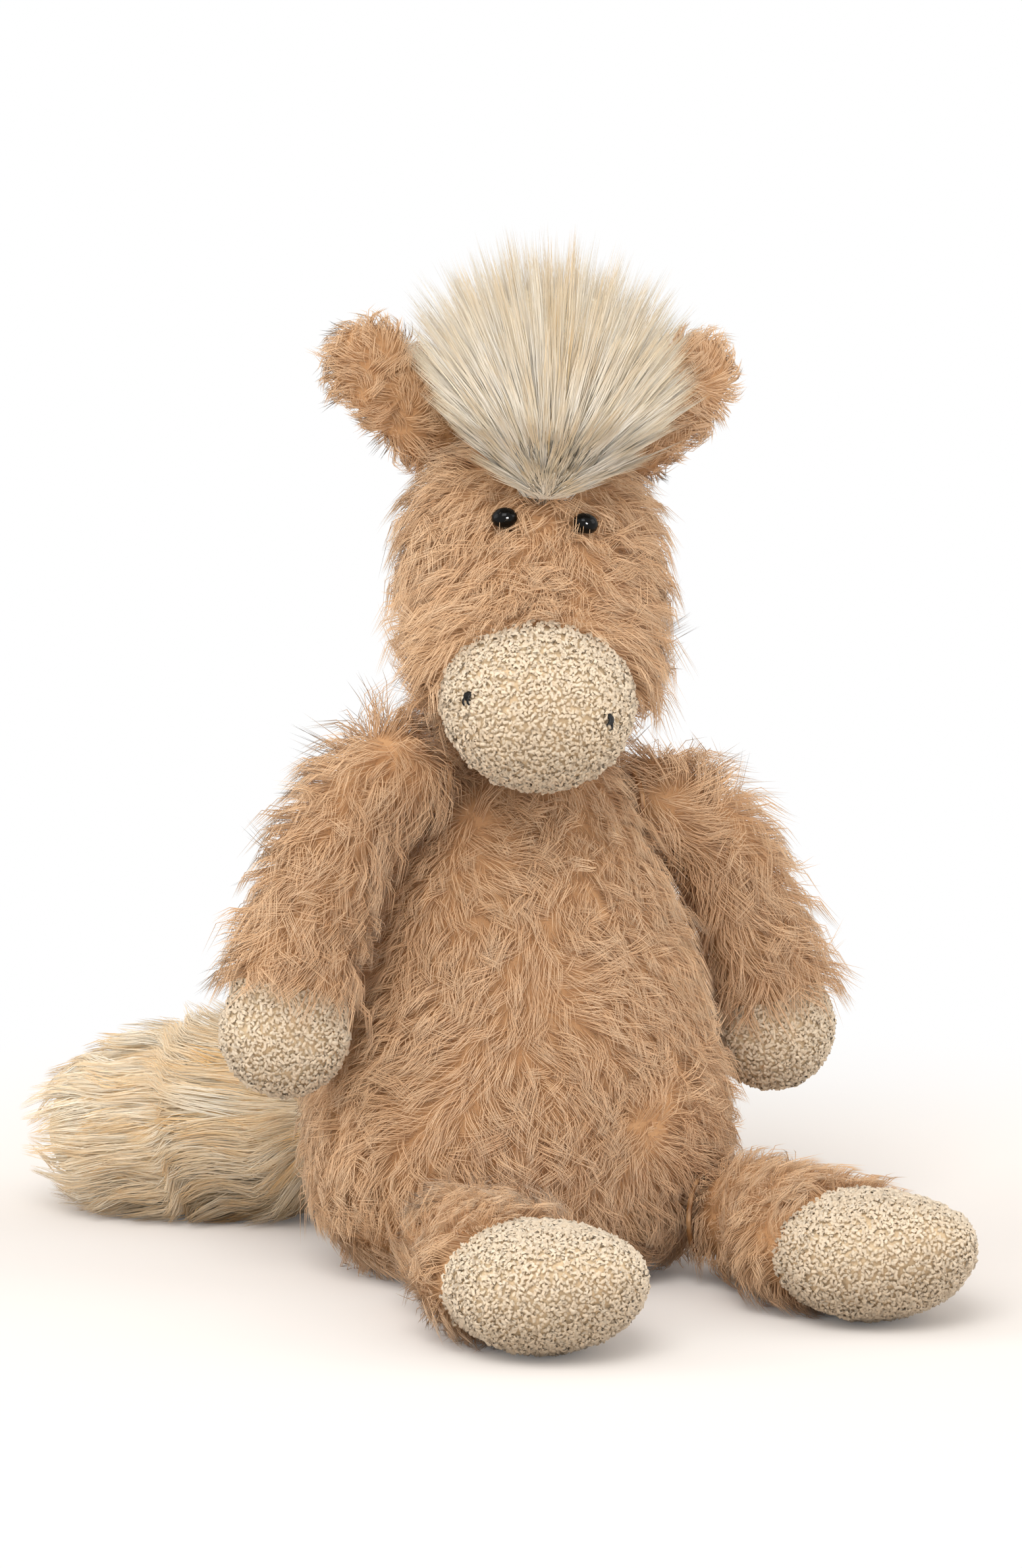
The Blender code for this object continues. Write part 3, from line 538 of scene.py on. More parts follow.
def looped_pile(name, skin, seam, rng, finish):
    """Curls of thick yarn, each turned once round on itself, crowded over the cloth."""
    points, outward = roots_on(skin, LOOPS_PER_CM2, rng)
    past = past_seam(points, seam) > LOOP_MARGIN
    points, outward = points[past], outward[past]
    kept = spaced(points, LOOP_SPACING)
    points, outward = points[kept], outward[kept]
    count = len(points)
    points = points + outward * (LOOP_HEAP * np.abs(swirl(points, LOOP_HEAP_SIZE, rng)[:, :1]))
    axis = rows(rng.normal(size=(count, 3)))
    lean = outward - axis * (axis * outward).sum(1, keepdims=True)
    lean = rows(lean + 0.1 * rng.normal(size=(count, 3)))
    side = rows(np.cross(axis, lean))
    size = LOOP_CURL * rng.uniform(0.6, 1.4, count)
    start = rng.uniform(-0.6, 0.6, count)
    paths = []
    for share in np.linspace(0, 1, LOOP_STEPS):
        angle = start + LOOP_TURN * (share - 0.5)
        out = size * (1 + np.cos(angle))
        along = size * np.sin(angle)
        rise = lean * out[:, None] + side * along[:, None]
        rise -= outward * ((rise * outward).sum(1) * (1 - LOOP_RISE))[:, None]
        wobble = outward * 0.0003 + 0.00015 * rng.normal(size=(count, 3))
        paths.append(points + rise + axis * (size * (share - 0.5) * 1.5)[:, None] + wobble)
    paths = np.stack(paths, axis=1)
    tones = 0.5 + 0.2 * rng.normal(size=count)
    return add_fibres(
        name, paths, axis, LOOP_RADIUS, LOOP_TAPER, outward, tones, finish, LOOP_SOFTNESS
    )


# Looped yarn: soft and matt, in curls about 2 mm across, with warm shade between them.
cream_backing = knitted_backing("cream_knitted_backing", "#F0D6B0", "#E8C9A0", 1.7, 1.0)
cream_loops = pile_material(
    "cream_looped_yarn",
    deep=((0.0, "#E8D0B0"), (0.5, "#E6D0B3"), (1.0, "#E8D0B0")),
    pale=((0.0, "#ECD8BC"), (0.5, "#EADAC3"), (1.0, "#ECD8BC")),
    roughness=0.9,
    sheen=0.1,
    gloss=0.1,
)

head_rng = np.random.default_rng(12)
head_seam = seam_between("head_cover", "muzzle_cover")
head_skin = cloth_skin("head_skin", ["head_stuffing"])
points, outward = roots_on(head_skin, FUR_PER_CM2 * HEAD_FUR_SHARE, head_rng)
behind = past_seam(points, head_seam) < -SEAM_MARGIN
points, outward = points[behind], outward[behind]
eyes = [corner_values(nodes["eye_" + side].data).mean(0) for side in ("left", "right")]
near_eye = np.min([np.linalg.norm(points - eye, axis=1) for eye in eyes], axis=0)
clear = near_eye > EYE_ROOM
points, outward, near_eye = points[clear], outward[clear], near_eye[clear]
aside = moved(points, to_head)[:, 0]

# The comb's way: out from the middle of the face and down, over the seam in a fringe, and away from
# each eye, where the fur is clipped short. It is longest on the cheeks.
sideways = to_world[:3, 0]
flow = swirl(points, 0.045, head_rng) * 0.42
flow += sideways * np.clip(aside[:, None] / 0.02, -1.2, 1.2) + np.array([0, 0, -0.6])
fringe = np.exp(-((past_seam(points, head_seam) / SEAM_FRINGE) ** 2))
fringe = fringe * (0.55 + 0.5 * head_rng.normal(size=len(points)))
flow += np.array(head_seam[1]) * (0.1 + fringe)[:, None]
for eye in eyes:
    away = points - eye
    near = np.clip(1.8 - np.linalg.norm(away, axis=1, keepdims=True) / EYE_ROOM, 0, 1)
    flow = flow * (1 - near * 0.5) + rows(away) * near * 0.5
short = np.clip(near_eye / EYE_ROOM - 0.7, 0.3, 1)
cheek = 1.15 + 0.3 * np.clip(np.abs(aside) / HALF_FACE - 0.4, 0, 1)
paths, across, tones = combed(points, outward, flow, FUR_LENGTH * cheek * short, head_rng)
halves = {"head_fur_left": aside > 0, "head_fur_right": aside <= 0}
for half in add_groups(halves, paths, across, FUR_RADIUS, FUR_TAPER, outward, tones, tan_fur):
    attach(half, "head")
    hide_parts("head_cover")
muzzle_skin = cut_cuff(head_skin, "muzzle_skin", head_seam)
head_skin.data.materials.append(tan_backing)
muzzle_skin.data.materials.append(cream_backing)
muzzle_pile = looped_pile("muzzle_pile", muzzle_skin, head_seam, head_rng, cream_loops)
for piece, slot in (
    (head_skin, "tan_fur"),
    (muzzle_skin, "cream_loops"),
    (muzzle_pile, "cream_loops"),
):
    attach(piece, "head")
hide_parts("muzzle_cover")

# The eyes: moulded black safety eyes, each held by a shank through the cloth and a ridged washer
# inside. Polished black acrylic, which shows a small sharp highlight.
made, tree = new_material("black_polished_acrylic")
finish_material(
    tree,
    add_node(
        tree,
        "ShaderNodeBsdfPrincipled",
        {
            "Base Color": linear("#080706"),
            "Roughness": 0.06,
            "IOR": 1.49,
            "Specular IOR Level": 0.16,
        },
    ),
)
for side in ("left", "right"):
    eye = bpy.data.objects.new("eye_dome_" + side, nodes["eye_" + side].data.copy())
    bpy.context.scene.collection.objects.link(eye)
    pick_only(eye)
    merge_doubles()
    soften = eye.modifiers.new("soften", "SUBSURF")
    soften.levels = soften.render_levels = 2
    bpy.ops.object.modifier_apply(modifier=soften.name)
    bpy.ops.object.shade_smooth()
    eye.data.materials.clear()
    eye.data.materials.append(made)
    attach(eye, "head")
    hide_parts("eye_" + side)

# The nostrils: a few stitches each of black embroidery thread, drawn down through the looped pile
# into the cloth. The toy's right one forks at its foot, and its left one trails a long stitch.
THREAD_PITCH_MM = 0.5
STITCH_RADIUS = 0.00042
STITCH_TAPER = (0.8, 1, 1, 1, 1, 0.8)
STITCH_SOFTNESS = 0.3
STITCH_ALONG = (0, 0.1, 0.28, 0.5, 0.72, 0.9, 1)
STITCH_RISE = (-0.0002, 0.0012, 0.0020, 0.0022, 0.0020, 0.0012, -0.0002)

# Each stitch's ends on the cloth, in metres from the nostril's middle: aside and up, twice.
NOSTRIL_STITCHES = {
    "right": (
        (-0.0009, 0.0019, -0.0006, -0.0006),
        (-0.0003, 0.0022, -0.0002, -0.0007),
        (0.0003, 0.0022, 0.0004, -0.0006),
        (0.0008, 0.0017, 0.0007, -0.0005),
        (-0.0005, 0.0010, -0.0012, -0.0024),
        (0.0003, 0.0010, 0.0013, -0.0022),
    ),
    "left": (
        (-0.0009, 0.0021, -0.0008, -0.0016),
        (-0.0004, 0.0025, -0.0003, -0.0020),
        (0.0002, 0.0025, 0.0003, -0.0021),
        (0.0007, 0.0021, 0.0008, -0.0017),
        (0.0002, 0.0004, 0.0007, -0.0034),
    ),
}
NOSTRIL_SHIFT = {"right": -0.0024, "left": 0.0005}


def thread_material(name, colour, shade, pitch_mm):
    """Twisted polyester thread: satin, in slanting strands a pitch apart."""
    made, tree = new_material(name)
    place = add_node(tree, "ShaderNodeTexCoord").outputs["Object"]
    strands = add_node(
        tree,
        "ShaderNodeTexWave",
        {"Vector": place, "Scale": 1000 / pitch_mm / 20, "Distortion": 2.0, "Detail": 1.0},
        bands_direction="DIAGONAL",
    )
    tint = add_node(
        tree,
        "ShaderNodeValToRGB",
        {"Fac": strands.outputs["Fac"]},
        stops=((0.1, shade), (0.9, colour)),
    )
    bump = add_node(
        tree,
        "ShaderNodeBump",
        {"Height": strands.outputs["Fac"], "Strength": 0.7, "Distance": 0.0002},
    )
    shader = add_node(
        tree,
        "ShaderNodeBsdfPrincipled",
        {
            "Base Color": tint.outputs["Color"],
            "Roughness": 0.5,
            "Specular IOR Level": 0.2,
            "Normal": bump.outputs["Normal"],
        },
    )
    finish_material(tree, shader)
    return made


def surface_of(piece):
    """A piece's surface, for finding the nearest place on it and where a line meets it."""
    mesh = piece.data
    return BVHTree.FromPolygons([v.co for v in mesh.vertices], [p.vertices for p in mesh.polygons])


black_thread = thread_material("black_embroidery_thread", "#141210", "#060505", THREAD_PITCH_MM)
muzzle_surface = surface_of(muzzle_skin)
for side, stitches in NOSTRIL_STITCHES.items():
    node = "nostril_" + side
    solid = Vector(corner_values(nodes[node].data).mean(0))
    centre, out, _, _ = muzzle_surface.find_nearest(solid)
    up = (Vector((0, 0, 1)) - out * out.z).normalized()
    across = up.cross(out)
    centre = muzzle_surface.find_nearest(centre + across * NOSTRIL_SHIFT[side])[0]
    paths = []
    for start_aside, start_up, end_aside, end_up in stitches:
        start = centre + across * start_aside + up * start_up
        end = centre + across * end_aside + up * end_up
        paths.append([start.lerp(end, t) + out * h for t, h in zip(STITCH_ALONG, STITCH_RISE)])
    count = len(stitches)
    nostril = add_fibres(
        "nostril_stitches_" + side,
        np.array(paths, float),
        np.tile(np.array(across), (count, 1)),
        STITCH_RADIUS,
        STITCH_TAPER,
        np.tile(np.array(out), (count, 1)),
        np.full(count, 0.5),
        black_thread,
        STITCH_SOFTNESS,
    )
    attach(nostril, "head")
    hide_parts(node)

# The ears: two leaves of the same fur sewn back to back, unstuffed, which stand out from under
# the mane. Their pile is a little shorter and denser, and is brushed out from the crown.
EAR_PILE_SHARE = 0.64
EAR_DENSITY = 1.6
EAR_STAND = 1.1
CROWN = NECK + Vector((0, 0, 0.055))

ear_rng = np.random.default_rng(13)
for side in ("left", "right"):
    leaves = [f"ear_front_{side}", f"ear_back_{side}"]
    ear_skin = cloth_skin("ear_skin_" + side, leaves)
    ear_skin.data.materials.append(tan_backing)
    points, outward = roots_on(ear_skin, FUR_PER_CM2 * EAR_DENSITY, ear_rng)
    flow = rows(points - np.array(CROWN)) * 0.55 + swirl(points, 0.022, ear_rng) * 0.9
    length = FUR_LENGTH * EAR_PILE_SHARE
    paths, across, tones = combed(points, outward, flow, length, ear_rng, EAR_STAND)
    ear_fur = add_fibres(
        "ear_fur_" + side, paths, across, FUR_RADIUS, FUR_TAPER, outward, tones, tan_fur
    )
    for piece in (ear_skin, ear_fur):
        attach(piece, "ear_" + side)
    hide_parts(*leaves)

# The mane: long straight faux hair on a woven strip, sewn over the crown from forehead to nape.
# It fans up and out from its root in a crest, in tufts with honey tips, parted in the middle.
MANE_HAIRS = 11200
MANE_RADIUS = 0.00016
MANE_TAPER = (0.9, 1.0, 0.8)
MANE_TUFT = 14
MANE_TONE = 0.72
MANE_TONE_SPREAD = (0.17, 0.1)
MANE_SOFTNESS = 0.7
MANE_OVERSHOOT = 0.013
MANE_ALONG = (0, 0.3, 0.66, 1.0)
MANE_GATHER = (0, 0.05, 0.16, 0.4)
TARGETS_PER_CM2 = 130
PACKED_DEPTH = 0.0065
CREST_CENTRE = (0.008, 0.040)
CREST_KNOTS = 12
FRONT_SWEEP = 0.9
PARTING_WIDTH = 0.007
STRIP_HALF = 0.004
SIGHT = 0.08


def crest_angle(points):
    """How far round the crest a place lies, from the face up and over to the nape."""
    angle = np.arctan2(points[..., 2] - CREST_CENTRE[1], CREST_CENTRE[0] - points[..., 1])
    return np.where(angle < -math.pi / 3, angle + 2 * math.pi, angle)


def packed(name, node, body, depth, fan_from, strand, colour, shade):
    """The dense middle of long hair under its loose strands, which fan out from one place."""
    made, tree = new_material(name)
    place = add_node(tree, "ShaderNodeTexCoord").outputs["Object"]
    away = add_node(
        tree, "ShaderNodeVectorMath", {0: place, 1: tuple(fan_from)}, operation="SUBTRACT"
    )
    way = add_node(tree, "ShaderNodeVectorMath", {0: away.outputs[0]}, operation="NORMALIZE")
    strands = add_node(
        tree, "ShaderNodeTexNoise", {"Vector": way.outputs[0], "Scale": strand, "Detail": 3.0}
    )
    tint = add_node(
        tree,
        "ShaderNodeValToRGB",
        {"Fac": strands.outputs["Fac"]},
        stops=((0.38, shade), (0.62, colour)),
    )
    bump = add_node(
        tree,
        "ShaderNodeBump",
        {"Height": strands.outputs["Fac"], "Strength": 0.7, "Distance": 0.0015},
    )
    shader = add_node(
        tree,
        "ShaderNodeBsdfPrincipled",
        {
            "Base Color": tint.outputs["Color"],
            "Roughness": 0.9,
            "Specular IOR Level": 0.2,
            "Normal": bump.outputs["Normal"],
        },
    )
    finish_material(tree, shader)
    core = cloth_skin(name, [node], -depth)
    core.data.materials.append(made)
    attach(core, body)
    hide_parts(node)


# Acrylic hair: finer and glossier than the fur, cream from the root, with honey in the tips of the
# deeper tufts.
mane_hair = pile_material(
    "cream_acrylic_hair",
    deep=((0.0, "#F3E6CC"), (0.3, "#EEDDBC"), (0.6, "#E9D3A8"), (1.0, "#D9AE70")),
    pale=((0.0, "#F6EFE2"), (0.3, "#F4EDE0"), (0.75, "#F3EBDD"), (1.0, "#EBD9B8")),
    roughness=0.5,
    sheen=0.1,
)

# Plain woven tape, for the strip and for the tail's roll: matt, in half-millimetre threads.
woven, tree = new_material("cream_woven_tape")
place = add_node(tree, "ShaderNodeTexCoord").outputs["Object"]
threads = add_node(
    tree,
    "ShaderNodeTexBrick",
    {
        "Vector": place,
        "Scale": 1000.0,
        "Color1": linear("#F3E8D2"),
        "Color2": linear("#EBDDC0"),
        "Mortar": linear("#E2D2B0"),
    },
)
finish_material(
    tree,
    add_node(
        tree,
        "ShaderNodeBsdfPrincipled",
        {"Base Color": threads.outputs["Color"], "Roughness": 0.9},
    ),
)
for node in ("mane_backing", "tail_core"):
    for slot in nodes[node].material_slots:
        slot.material = woven

# The strip's line over the head: its radius from the crest's centre at each angle.
strip = moved(corner_values(nodes["mane_backing"].data), to_head)
strip = strip[np.argsort(crest_angle(strip))]
strip_angle = crest_angle(strip)
first_angle, last_angle = strip_angle[0], strip_angle[-1]
knots = np.linspace(first_angle, last_angle, CREST_KNOTS)
radius = np.hypot(strip[:, 2] - CREST_CENTRE[1], strip[:, 1] - CREST_CENTRE[0])
strip_radius = np.array([radius[np.argsort(np.abs(strip_angle - k))[:12]].mean() for k in knots])

# Where each hair ends, on the crest's outside, and its root, lower on the strip.
mane_rng = np.random.default_rng(14)
targets, facing = roots_on(nodes["mane_hair"], TARGETS_PER_CM2, mane_rng)
targets, facing = moved(targets, to_head), facing @ to_head[:3, :3].T
centre = np.array([0, *CREST_CENTRE])
fan_from = moved(centre, to_world)
packed("mane_hair_packed", "mane_hair", "head", PACKED_DEPTH, fan_from, 70.0, "#FBF2E2", "#F2E0BC")
outer = np.flatnonzero((facing * rows(targets - centre)).sum(1) > 0.1)
count = min(len(outer), 2 * MANE_HAIRS)
outer = mane_rng.choice(outer, count, replace=False)
targets, facing = targets[outer], facing[outer] @ to_world[:3, :3].T
angle = crest_angle(targets)
spread = mane_rng.random(count) ** 1.6 * 0.8
root_angle = first_angle + (np.clip(angle, first_angle, last_angle) - first_angle) * spread
root_radius = np.interp(root_angle, knots, strip_radius)
sideways = np.clip(targets[:, 0] / HALF_FACE, -1, 1)
roots = np.stack(
    [
        sideways * STRIP_HALF + 0.0012 * mane_rng.normal(size=count),
        CREST_CENTRE[0] - root_radius * np.cos(root_angle),
        CREST_CENTRE[1] + root_radius * np.sin(root_angle),
    ],
    axis=1,
)
lead = tuft_leaders(targets, MANE_TUFT, mane_rng)
share = 1 - 0.26 * mane_rng.random(count) ** 2.4
proud = mane_rng.uniform(-0.3, 1.2, count)[lead] + 0.15 * mane_rng.normal(size=count)
proud = rows(targets - roots) * (MANE_OVERSHOOT * proud)[:, None]
tips = roots + (targets - roots) * share[:, None] + proud

# Over the face the hairs bow forward, as far as the crest's front surface there.
middle = (roots + tips) / 2
ahead = np.array([0, -1.0, 0.15])
outside = moved(middle + ahead * SIGHT, to_world)
inward = Vector(to_world[:3, :3] @ -ahead)
crest = surface_of(nodes["mane_hair"])
found = np.array([crest.ray_cast(Vector(p), inward, SIGHT)[3] or SIGHT for p in outside])
in_front = np.clip(1 - (root_angle - first_angle) / FRONT_SWEEP, 0, 1)
hug = (SIGHT - found) * in_front * mane_rng.uniform(0.1, 0.95, count)
bend = middle + ahead * (2 * hug)[:, None]
paths = np.stack(
    [roots * (1 - t) ** 2 + bend * (2 * t * (1 - t)) + tips * t**2 for t in MANE_ALONG], axis=1
)
paths = moved(gathered(paths, lead, MANE_GATHER), to_world)
tones = MANE_TONE + strayed(lead, MANE_TONE_SPREAD, mane_rng)
tones -= 0.25 * np.exp(-((targets[:, 0] / PARTING_WIDTH) ** 2))
across = np.cross(paths[:, -1] - paths[:, 0], mane_rng.normal(size=(count, 3)))
halves = {"mane_hair_left": targets[:, 0] > 0, "mane_hair_right": targets[:, 0] <= 0}
for half in add_groups(
    halves, paths, across, MANE_RADIUS, MANE_TAPER, facing, tones, mane_hair, MANE_SOFTNESS
):
    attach(half, "head")
    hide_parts("mane_hair")

# The arms: stuffed sleeves of fur sewn on at the shoulders, which hang out and down, each with a
# rounded hoof of looped pile sewn on at the wrist. The fur is brushed down and outwards.
ARM_FUR_SHARE = 1.3


def sewn_limb(limb, cuff, side, seed, brushed):
    """A stuffed sleeve of fur with its looped cuff, combed as brushed says.

    It gives the comb's way, the hairs' length, and how upright they stand.
    """
    way = 1 if side == "left" else -1
    rng = np.random.default_rng(seed + way)
    seam = seam_between(f"{limb}_cover_{side}", f"{cuff}_cover_{side}")
    skin = cloth_skin(f"{limb}_skin_{side}", [f"{limb}_stuffing_{side}"])
    points, outward = roots_on(skin, FUR_PER_CM2, rng)
    sleeve = past_seam(points, seam) < -SEAM_MARGIN
    points, outward = points[sleeve], outward[sleeve]
    flow, length, stand = brushed(points, outward, way, rng)
    paths, across, tones = combed(points, outward, flow, length, rng, stand)
    fur_name = f"{limb}_fur_{side}"
    fur = add_fibres(fur_name, paths, across, FUR_RADIUS, FUR_TAPER, outward, tones, tan_fur)
    cuff_skin = cut_cuff(skin, f"{cuff}_skin_{side}", seam)
    skin.data.materials.append(tan_backing)
    cuff_skin.data.materials.append(cream_backing)
    cuff_pile = looped_pile(f"{cuff}_pile_{side}", cuff_skin, seam, rng, cream_loops)
    for piece, slot in (
        (skin, "tan_fur"),
        (fur, "tan_fur"),
        (cuff_skin, "cream_loops"),
        (cuff_pile, "cream_loops"),
    ):
        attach(piece, f"{limb}_{side}")
    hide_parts(f"{limb}_cover_{side}")
    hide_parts(f"{cuff}_cover_{side}")


def brushed_arm(points, outward, way, rng):
    """Down and outwards, but in towards the neck over the shoulder, where it stands fuller."""
    flow = np.array([way * 0.75, -0.1, -0.75]) + swirl(points, 0.04, rng) * 0.45
    upper = np.clip(outward[:, 2:], 0, 1)
    flow += upper * np.array([-way * 1.1, 0, 0.35])
    length = FUR_LENGTH * (ARM_FUR_SHARE + 0.1 * upper[:, 0])
    return flow, length, 1 + 0.2 * upper[:, 0]


for side in ("left", "right"):
    sewn_limb("arm", "hoof", side, 15, brushed_arm)

# The legs: short stuffed sleeves of fur sewn on at the hips, which lie forward on the floor, each
# with a long foot of looped pile sewn on at the ankle. The fur is brushed forward and outwards.
LEG_FUR_SHARE = 0.9


def brushed_leg(points, outward, way, rng):
    """Forward to the foot and outwards, in loose swirls."""
    flow = np.array([way * 0.5, -0.55, 0.1]) + swirl(points, 0.035, rng) * 0.6
    return flow, FUR_LENGTH * LEG_FUR_SHARE, 1


for side in ("left", "right"):
    sewn_limb("leg", "foot", side, 18, brushed_leg)

# The tail: the mane's long hair, fixed round a sewn roll at the seat's back, which lies on the
# floor to the toy's right. The hair runs along it in tufts with honey tips, and opens at the end.
TAIL_ROOT = np.array([-0.006, 0.066, 0.038])
TAIL_HAIRS = 11800
TAIL_TUFT = 16
TAIL_TARGETS_PER_CM2 = 90
TAIL_TONE = 0.58
TAIL_TONE_SPREAD = (0.2, 0.1)
TAIL_TURN_SPREAD = (0.1, 0.05)
TAIL_SOFTNESS = 0.6
TAIL_ALONG = (0, 0.32, 0.68, 1.0)
TAIL_GATHER = (0, 0.06, 0.24, 0.55)
TAIL_PACKED_DEPTH = 0.004
CORE_GIRTH = 0.0125
CORE_BARE = 0.009
COLLAR_HAIR = 0.024
COLLAR_PER_CM2 = 130
COLLAR_SPAN = (0.006, 0.036)
ROOT_ZONE = 0.045

# The same acrylic hair in warmer tones: cream with wide honey tips.
tail_hair = pile_material(
    "honey_acrylic_hair",
    deep=((0.0, "#F9DEB0"), (0.4, "#F9D9A4"), (0.7, "#F4C786"), (1.0, "#EAB064")),
    pale=((0.0, "#FFF2D8"), (0.4, "#FFF7E6"), (0.75, "#FFF0D6"), (1.0, "#FCDFAF")),
    roughness=0.5,
    sheen=0.1,
)

# The roll's middle line, read from its solid, and straight on past its end.
core = corner_values(nodes["tail_core"].data)
brush = corner_values(nodes["tail_hair"].data)
axis = rows((brush.mean(0) - TAIL_ROOT)[None, :])[0]
core_reach = (core - TAIL_ROOT) @ axis
core_knots = np.linspace(0, core_reach.max() - 0.004, 9)
core_line = np.array([core[np.argsort(np.abs(core_reach - k))[:14]].mean(0) for k in core_knots])
end_way = rows((core_line[-1] - core_line[-4])[None, :])[0]
full_reach = float(((brush - TAIL_ROOT) @ axis).max())
fan_from = TAIL_ROOT - axis * 0.05
packed(
    "tail_hair_packed",
    "tail_hair",
    "tail",
    TAIL_PACKED_DEPTH,
    fan_from,
    90.0,
    "#FCEFDA",
    "#EFCB98",
)


def tail_centre(at):
    """The tail's middle line, straight on past the end of the roll."""
    inside = np.clip(at, 0, core_knots[-1])
    line = np.stack([np.interp(inside, core_knots, core_line[:, k]) for k in range(3)], axis=1)
    return line + end_way * (at - inside)[:, None]


level = rows(np.cross(end_way, [0, 0, 1])[None, :])[0]
steep = np.cross(level, end_way)
brush_surface = surface_of(nodes["tail_hair"])


def reach_out(middle, way):
    """How far the brush stands out from its middle line, measured from outside it."""
    found = brush_surface.ray_cast(middle + way * SIGHT, -way, SIGHT)[3]
    return SIGHT - found if found else CORE_GIRTH


# Where each hair ends on the brush, how far along it that is, and how far back its root lies.
tail_rng = np.random.default_rng(21)
targets, _ = roots_on(nodes["tail_hair"], TAIL_TARGETS_PER_CM2, tail_rng)
at = (targets - TAIL_ROOT) @ axis
off = targets - tail_centre(at)
off -= end_way * (off @ end_way)[:, None]
kept = np.linalg.norm(off, axis=1) > np.where(at < core_knots[-1] + 0.004, CORE_BARE, 0)
targets, at, off = targets[kept], at[kept], off[kept]
kept = tail_rng.choice(len(targets), min(len(targets), TAIL_HAIRS), replace=False)
targets, at, off, count = targets[kept], at[kept], off[kept], len(kept)
lead = tuft_leaders(targets, TAIL_TUFT, tail_rng)
around = np.arctan2(off @ steep, off @ level)
reach = np.clip(at - 0.004, 0.006, tail_rng.uniform(0.018, 0.026, count))
reach = np.where(at < ROOT_ZONE, np.maximum(at - 0.010, 0.006), reach)

# How high over the middle line it starts and ends, in shares of the girth there. The tips near the
# tail's root stand fuller, and those near its end reach past it by a few millimetres, or short.
start_share = tail_rng.uniform(0.66, 0.86, count)
end_share = 1.16 - 0.24 * tail_rng.random(count) ** 1.5
end_share += (0.07 * tail_rng.normal(size=count))[lead]
turned = strayed(lead, TAIL_TURN_SPREAD, tail_rng)
end_share += 0.42 * np.clip(1 - at / (0.7 * full_reach), 0, 1)
past_end = np.clip(at / full_reach / 0.3 - 2.0, 0, 1)
past_end = past_end * tail_rng.uniform(-0.008, 0.008, count)[lead]
paths = []
for share in TAIL_ALONG:
    here = at - reach * (1 - share) + past_end * share**2
    turn_by = around + turned * (share - 1)
    radial = level * np.cos(turn_by)[:, None] + steep * np.sin(turn_by)[:, None]
    middle = tail_centre(np.minimum(here, at))
    girth = np.array([reach_out(Vector(m), Vector(r)) for m, r in zip(middle, radial)])
    rise = start_share + (end_share - start_share) * share**0.8
    paths.append(tail_centre(here) + radial * (girth * rise)[:, None])
paths = gathered(np.stack(paths, axis=1), lead, TAIL_GATHER)
tones = TAIL_TONE + strayed(lead, TAIL_TONE_SPREAD, tail_rng)
across = np.cross(paths[:, -1] - paths[:, 0], tail_rng.normal(size=(count, 3)))
facing = rows(off + end_way * 0.01)
tail = add_fibres(
    "tail_hair_long",
    paths,
    across,
    MANE_RADIUS,
    MANE_TAPER,
    facing,
    tones,
    tail_hair,
    TAIL_SOFTNESS,
)

# The collar: shorter hair on the roll where it leaves the body.
points, outward = roots_on(nodes["tail_core"], COLLAR_PER_CM2, tail_rng)
at = (points - TAIL_ROOT) @ axis
bare = (at > COLLAR_SPAN[0]) & (at < COLLAR_SPAN[1])
points, outward = points[bare], outward[bare]
paths, across, tones = combed(points, outward, axis + 0 * points, COLLAR_HAIR, tail_rng)
collar = add_fibres(
    "tail_hair_collar", paths, across, MANE_RADIUS, FUR_TAPER, outward, tones, tail_hair
)
for piece in (tail, collar):
    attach(piece, "tail")
    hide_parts("tail_hair")

# What the covers hide: polyester fibre in the head, body and limbs, a cotton pouch of beans under
# the body's fibre, the washers of the eyes, and the threads that draw the seams in.
fibre, tree = new_material("polyester_filling")
place = add_node(tree, "ShaderNodeTexCoord").outputs["Object"]
wisps = add_node(
    tree, "ShaderNodeTexNoise", {"Vector": place, "Scale": 220.0, "Detail": 6.0, "Distortion": 1.5}
)
tint = add_node(
    tree,
    "ShaderNodeValToRGB",
    {"Fac": wisps.outputs["Fac"]},
    stops=((0.3, "#DAD9D6"), (0.7, "#F7F7F5")),
)
bump = add_node(
    tree,
    "ShaderNodeBump",
    {"Height": wisps.outputs["Fac"], "Strength": 1.0, "Distance": 0.002},
)
finish_material(
    tree,
    add_node(
        tree,
        "ShaderNodeBsdfPrincipled",
        {
            "Base Color": tint.outputs["Color"],
            "Roughness": 1.0,
            "Sheen Weight": 0.3,
            "Normal": bump.outputs["Normal"],
        },
    ),
)

# Undyed cotton, natural moulded nylon and tan sewing thread, all plain and matt.
cotton = knitted_backing("cotton_pouch", "#EDEAE2", "#DAD5C8")
washer_plastic, tree = new_material("white_moulded_nylon")
finish_material(
    tree,
    add_node(
        tree,
        "ShaderNodeBsdfPrincipled",
        {"Base Color": linear("#E4E2DC"), "Roughness": 0.45, "IOR": 1.53},
    ),
)
tan_thread = thread_material("tan_sewing_thread", "#BE9468", "#93683F", 0.8)
hidden = {"stuffing": fibre, "pouch": cotton, "washer": washer_plastic, "thread": tan_thread}
for name, node in nodes.items():
    for word, finish in hidden.items():
        if word in name:
            for slot in node.material_slots:
                slot.material = finish

# The studio: a white floor that runs out of sight and a white surround, a wide soft light high in
# front on the left, weaker ones on the right and behind on the left, and a small low panel that
# only glints in the eyes. The floor keeps a faint warm shadow near the toy.
FLOOR_SIZE = 30
SHADOW_RADII = (0.2, 0.46)
SHADOW_WHITE = 0.05
SKY_STRENGTH = 0.96
LIGHTS_AIM = Vector((0, 0, 0.15))

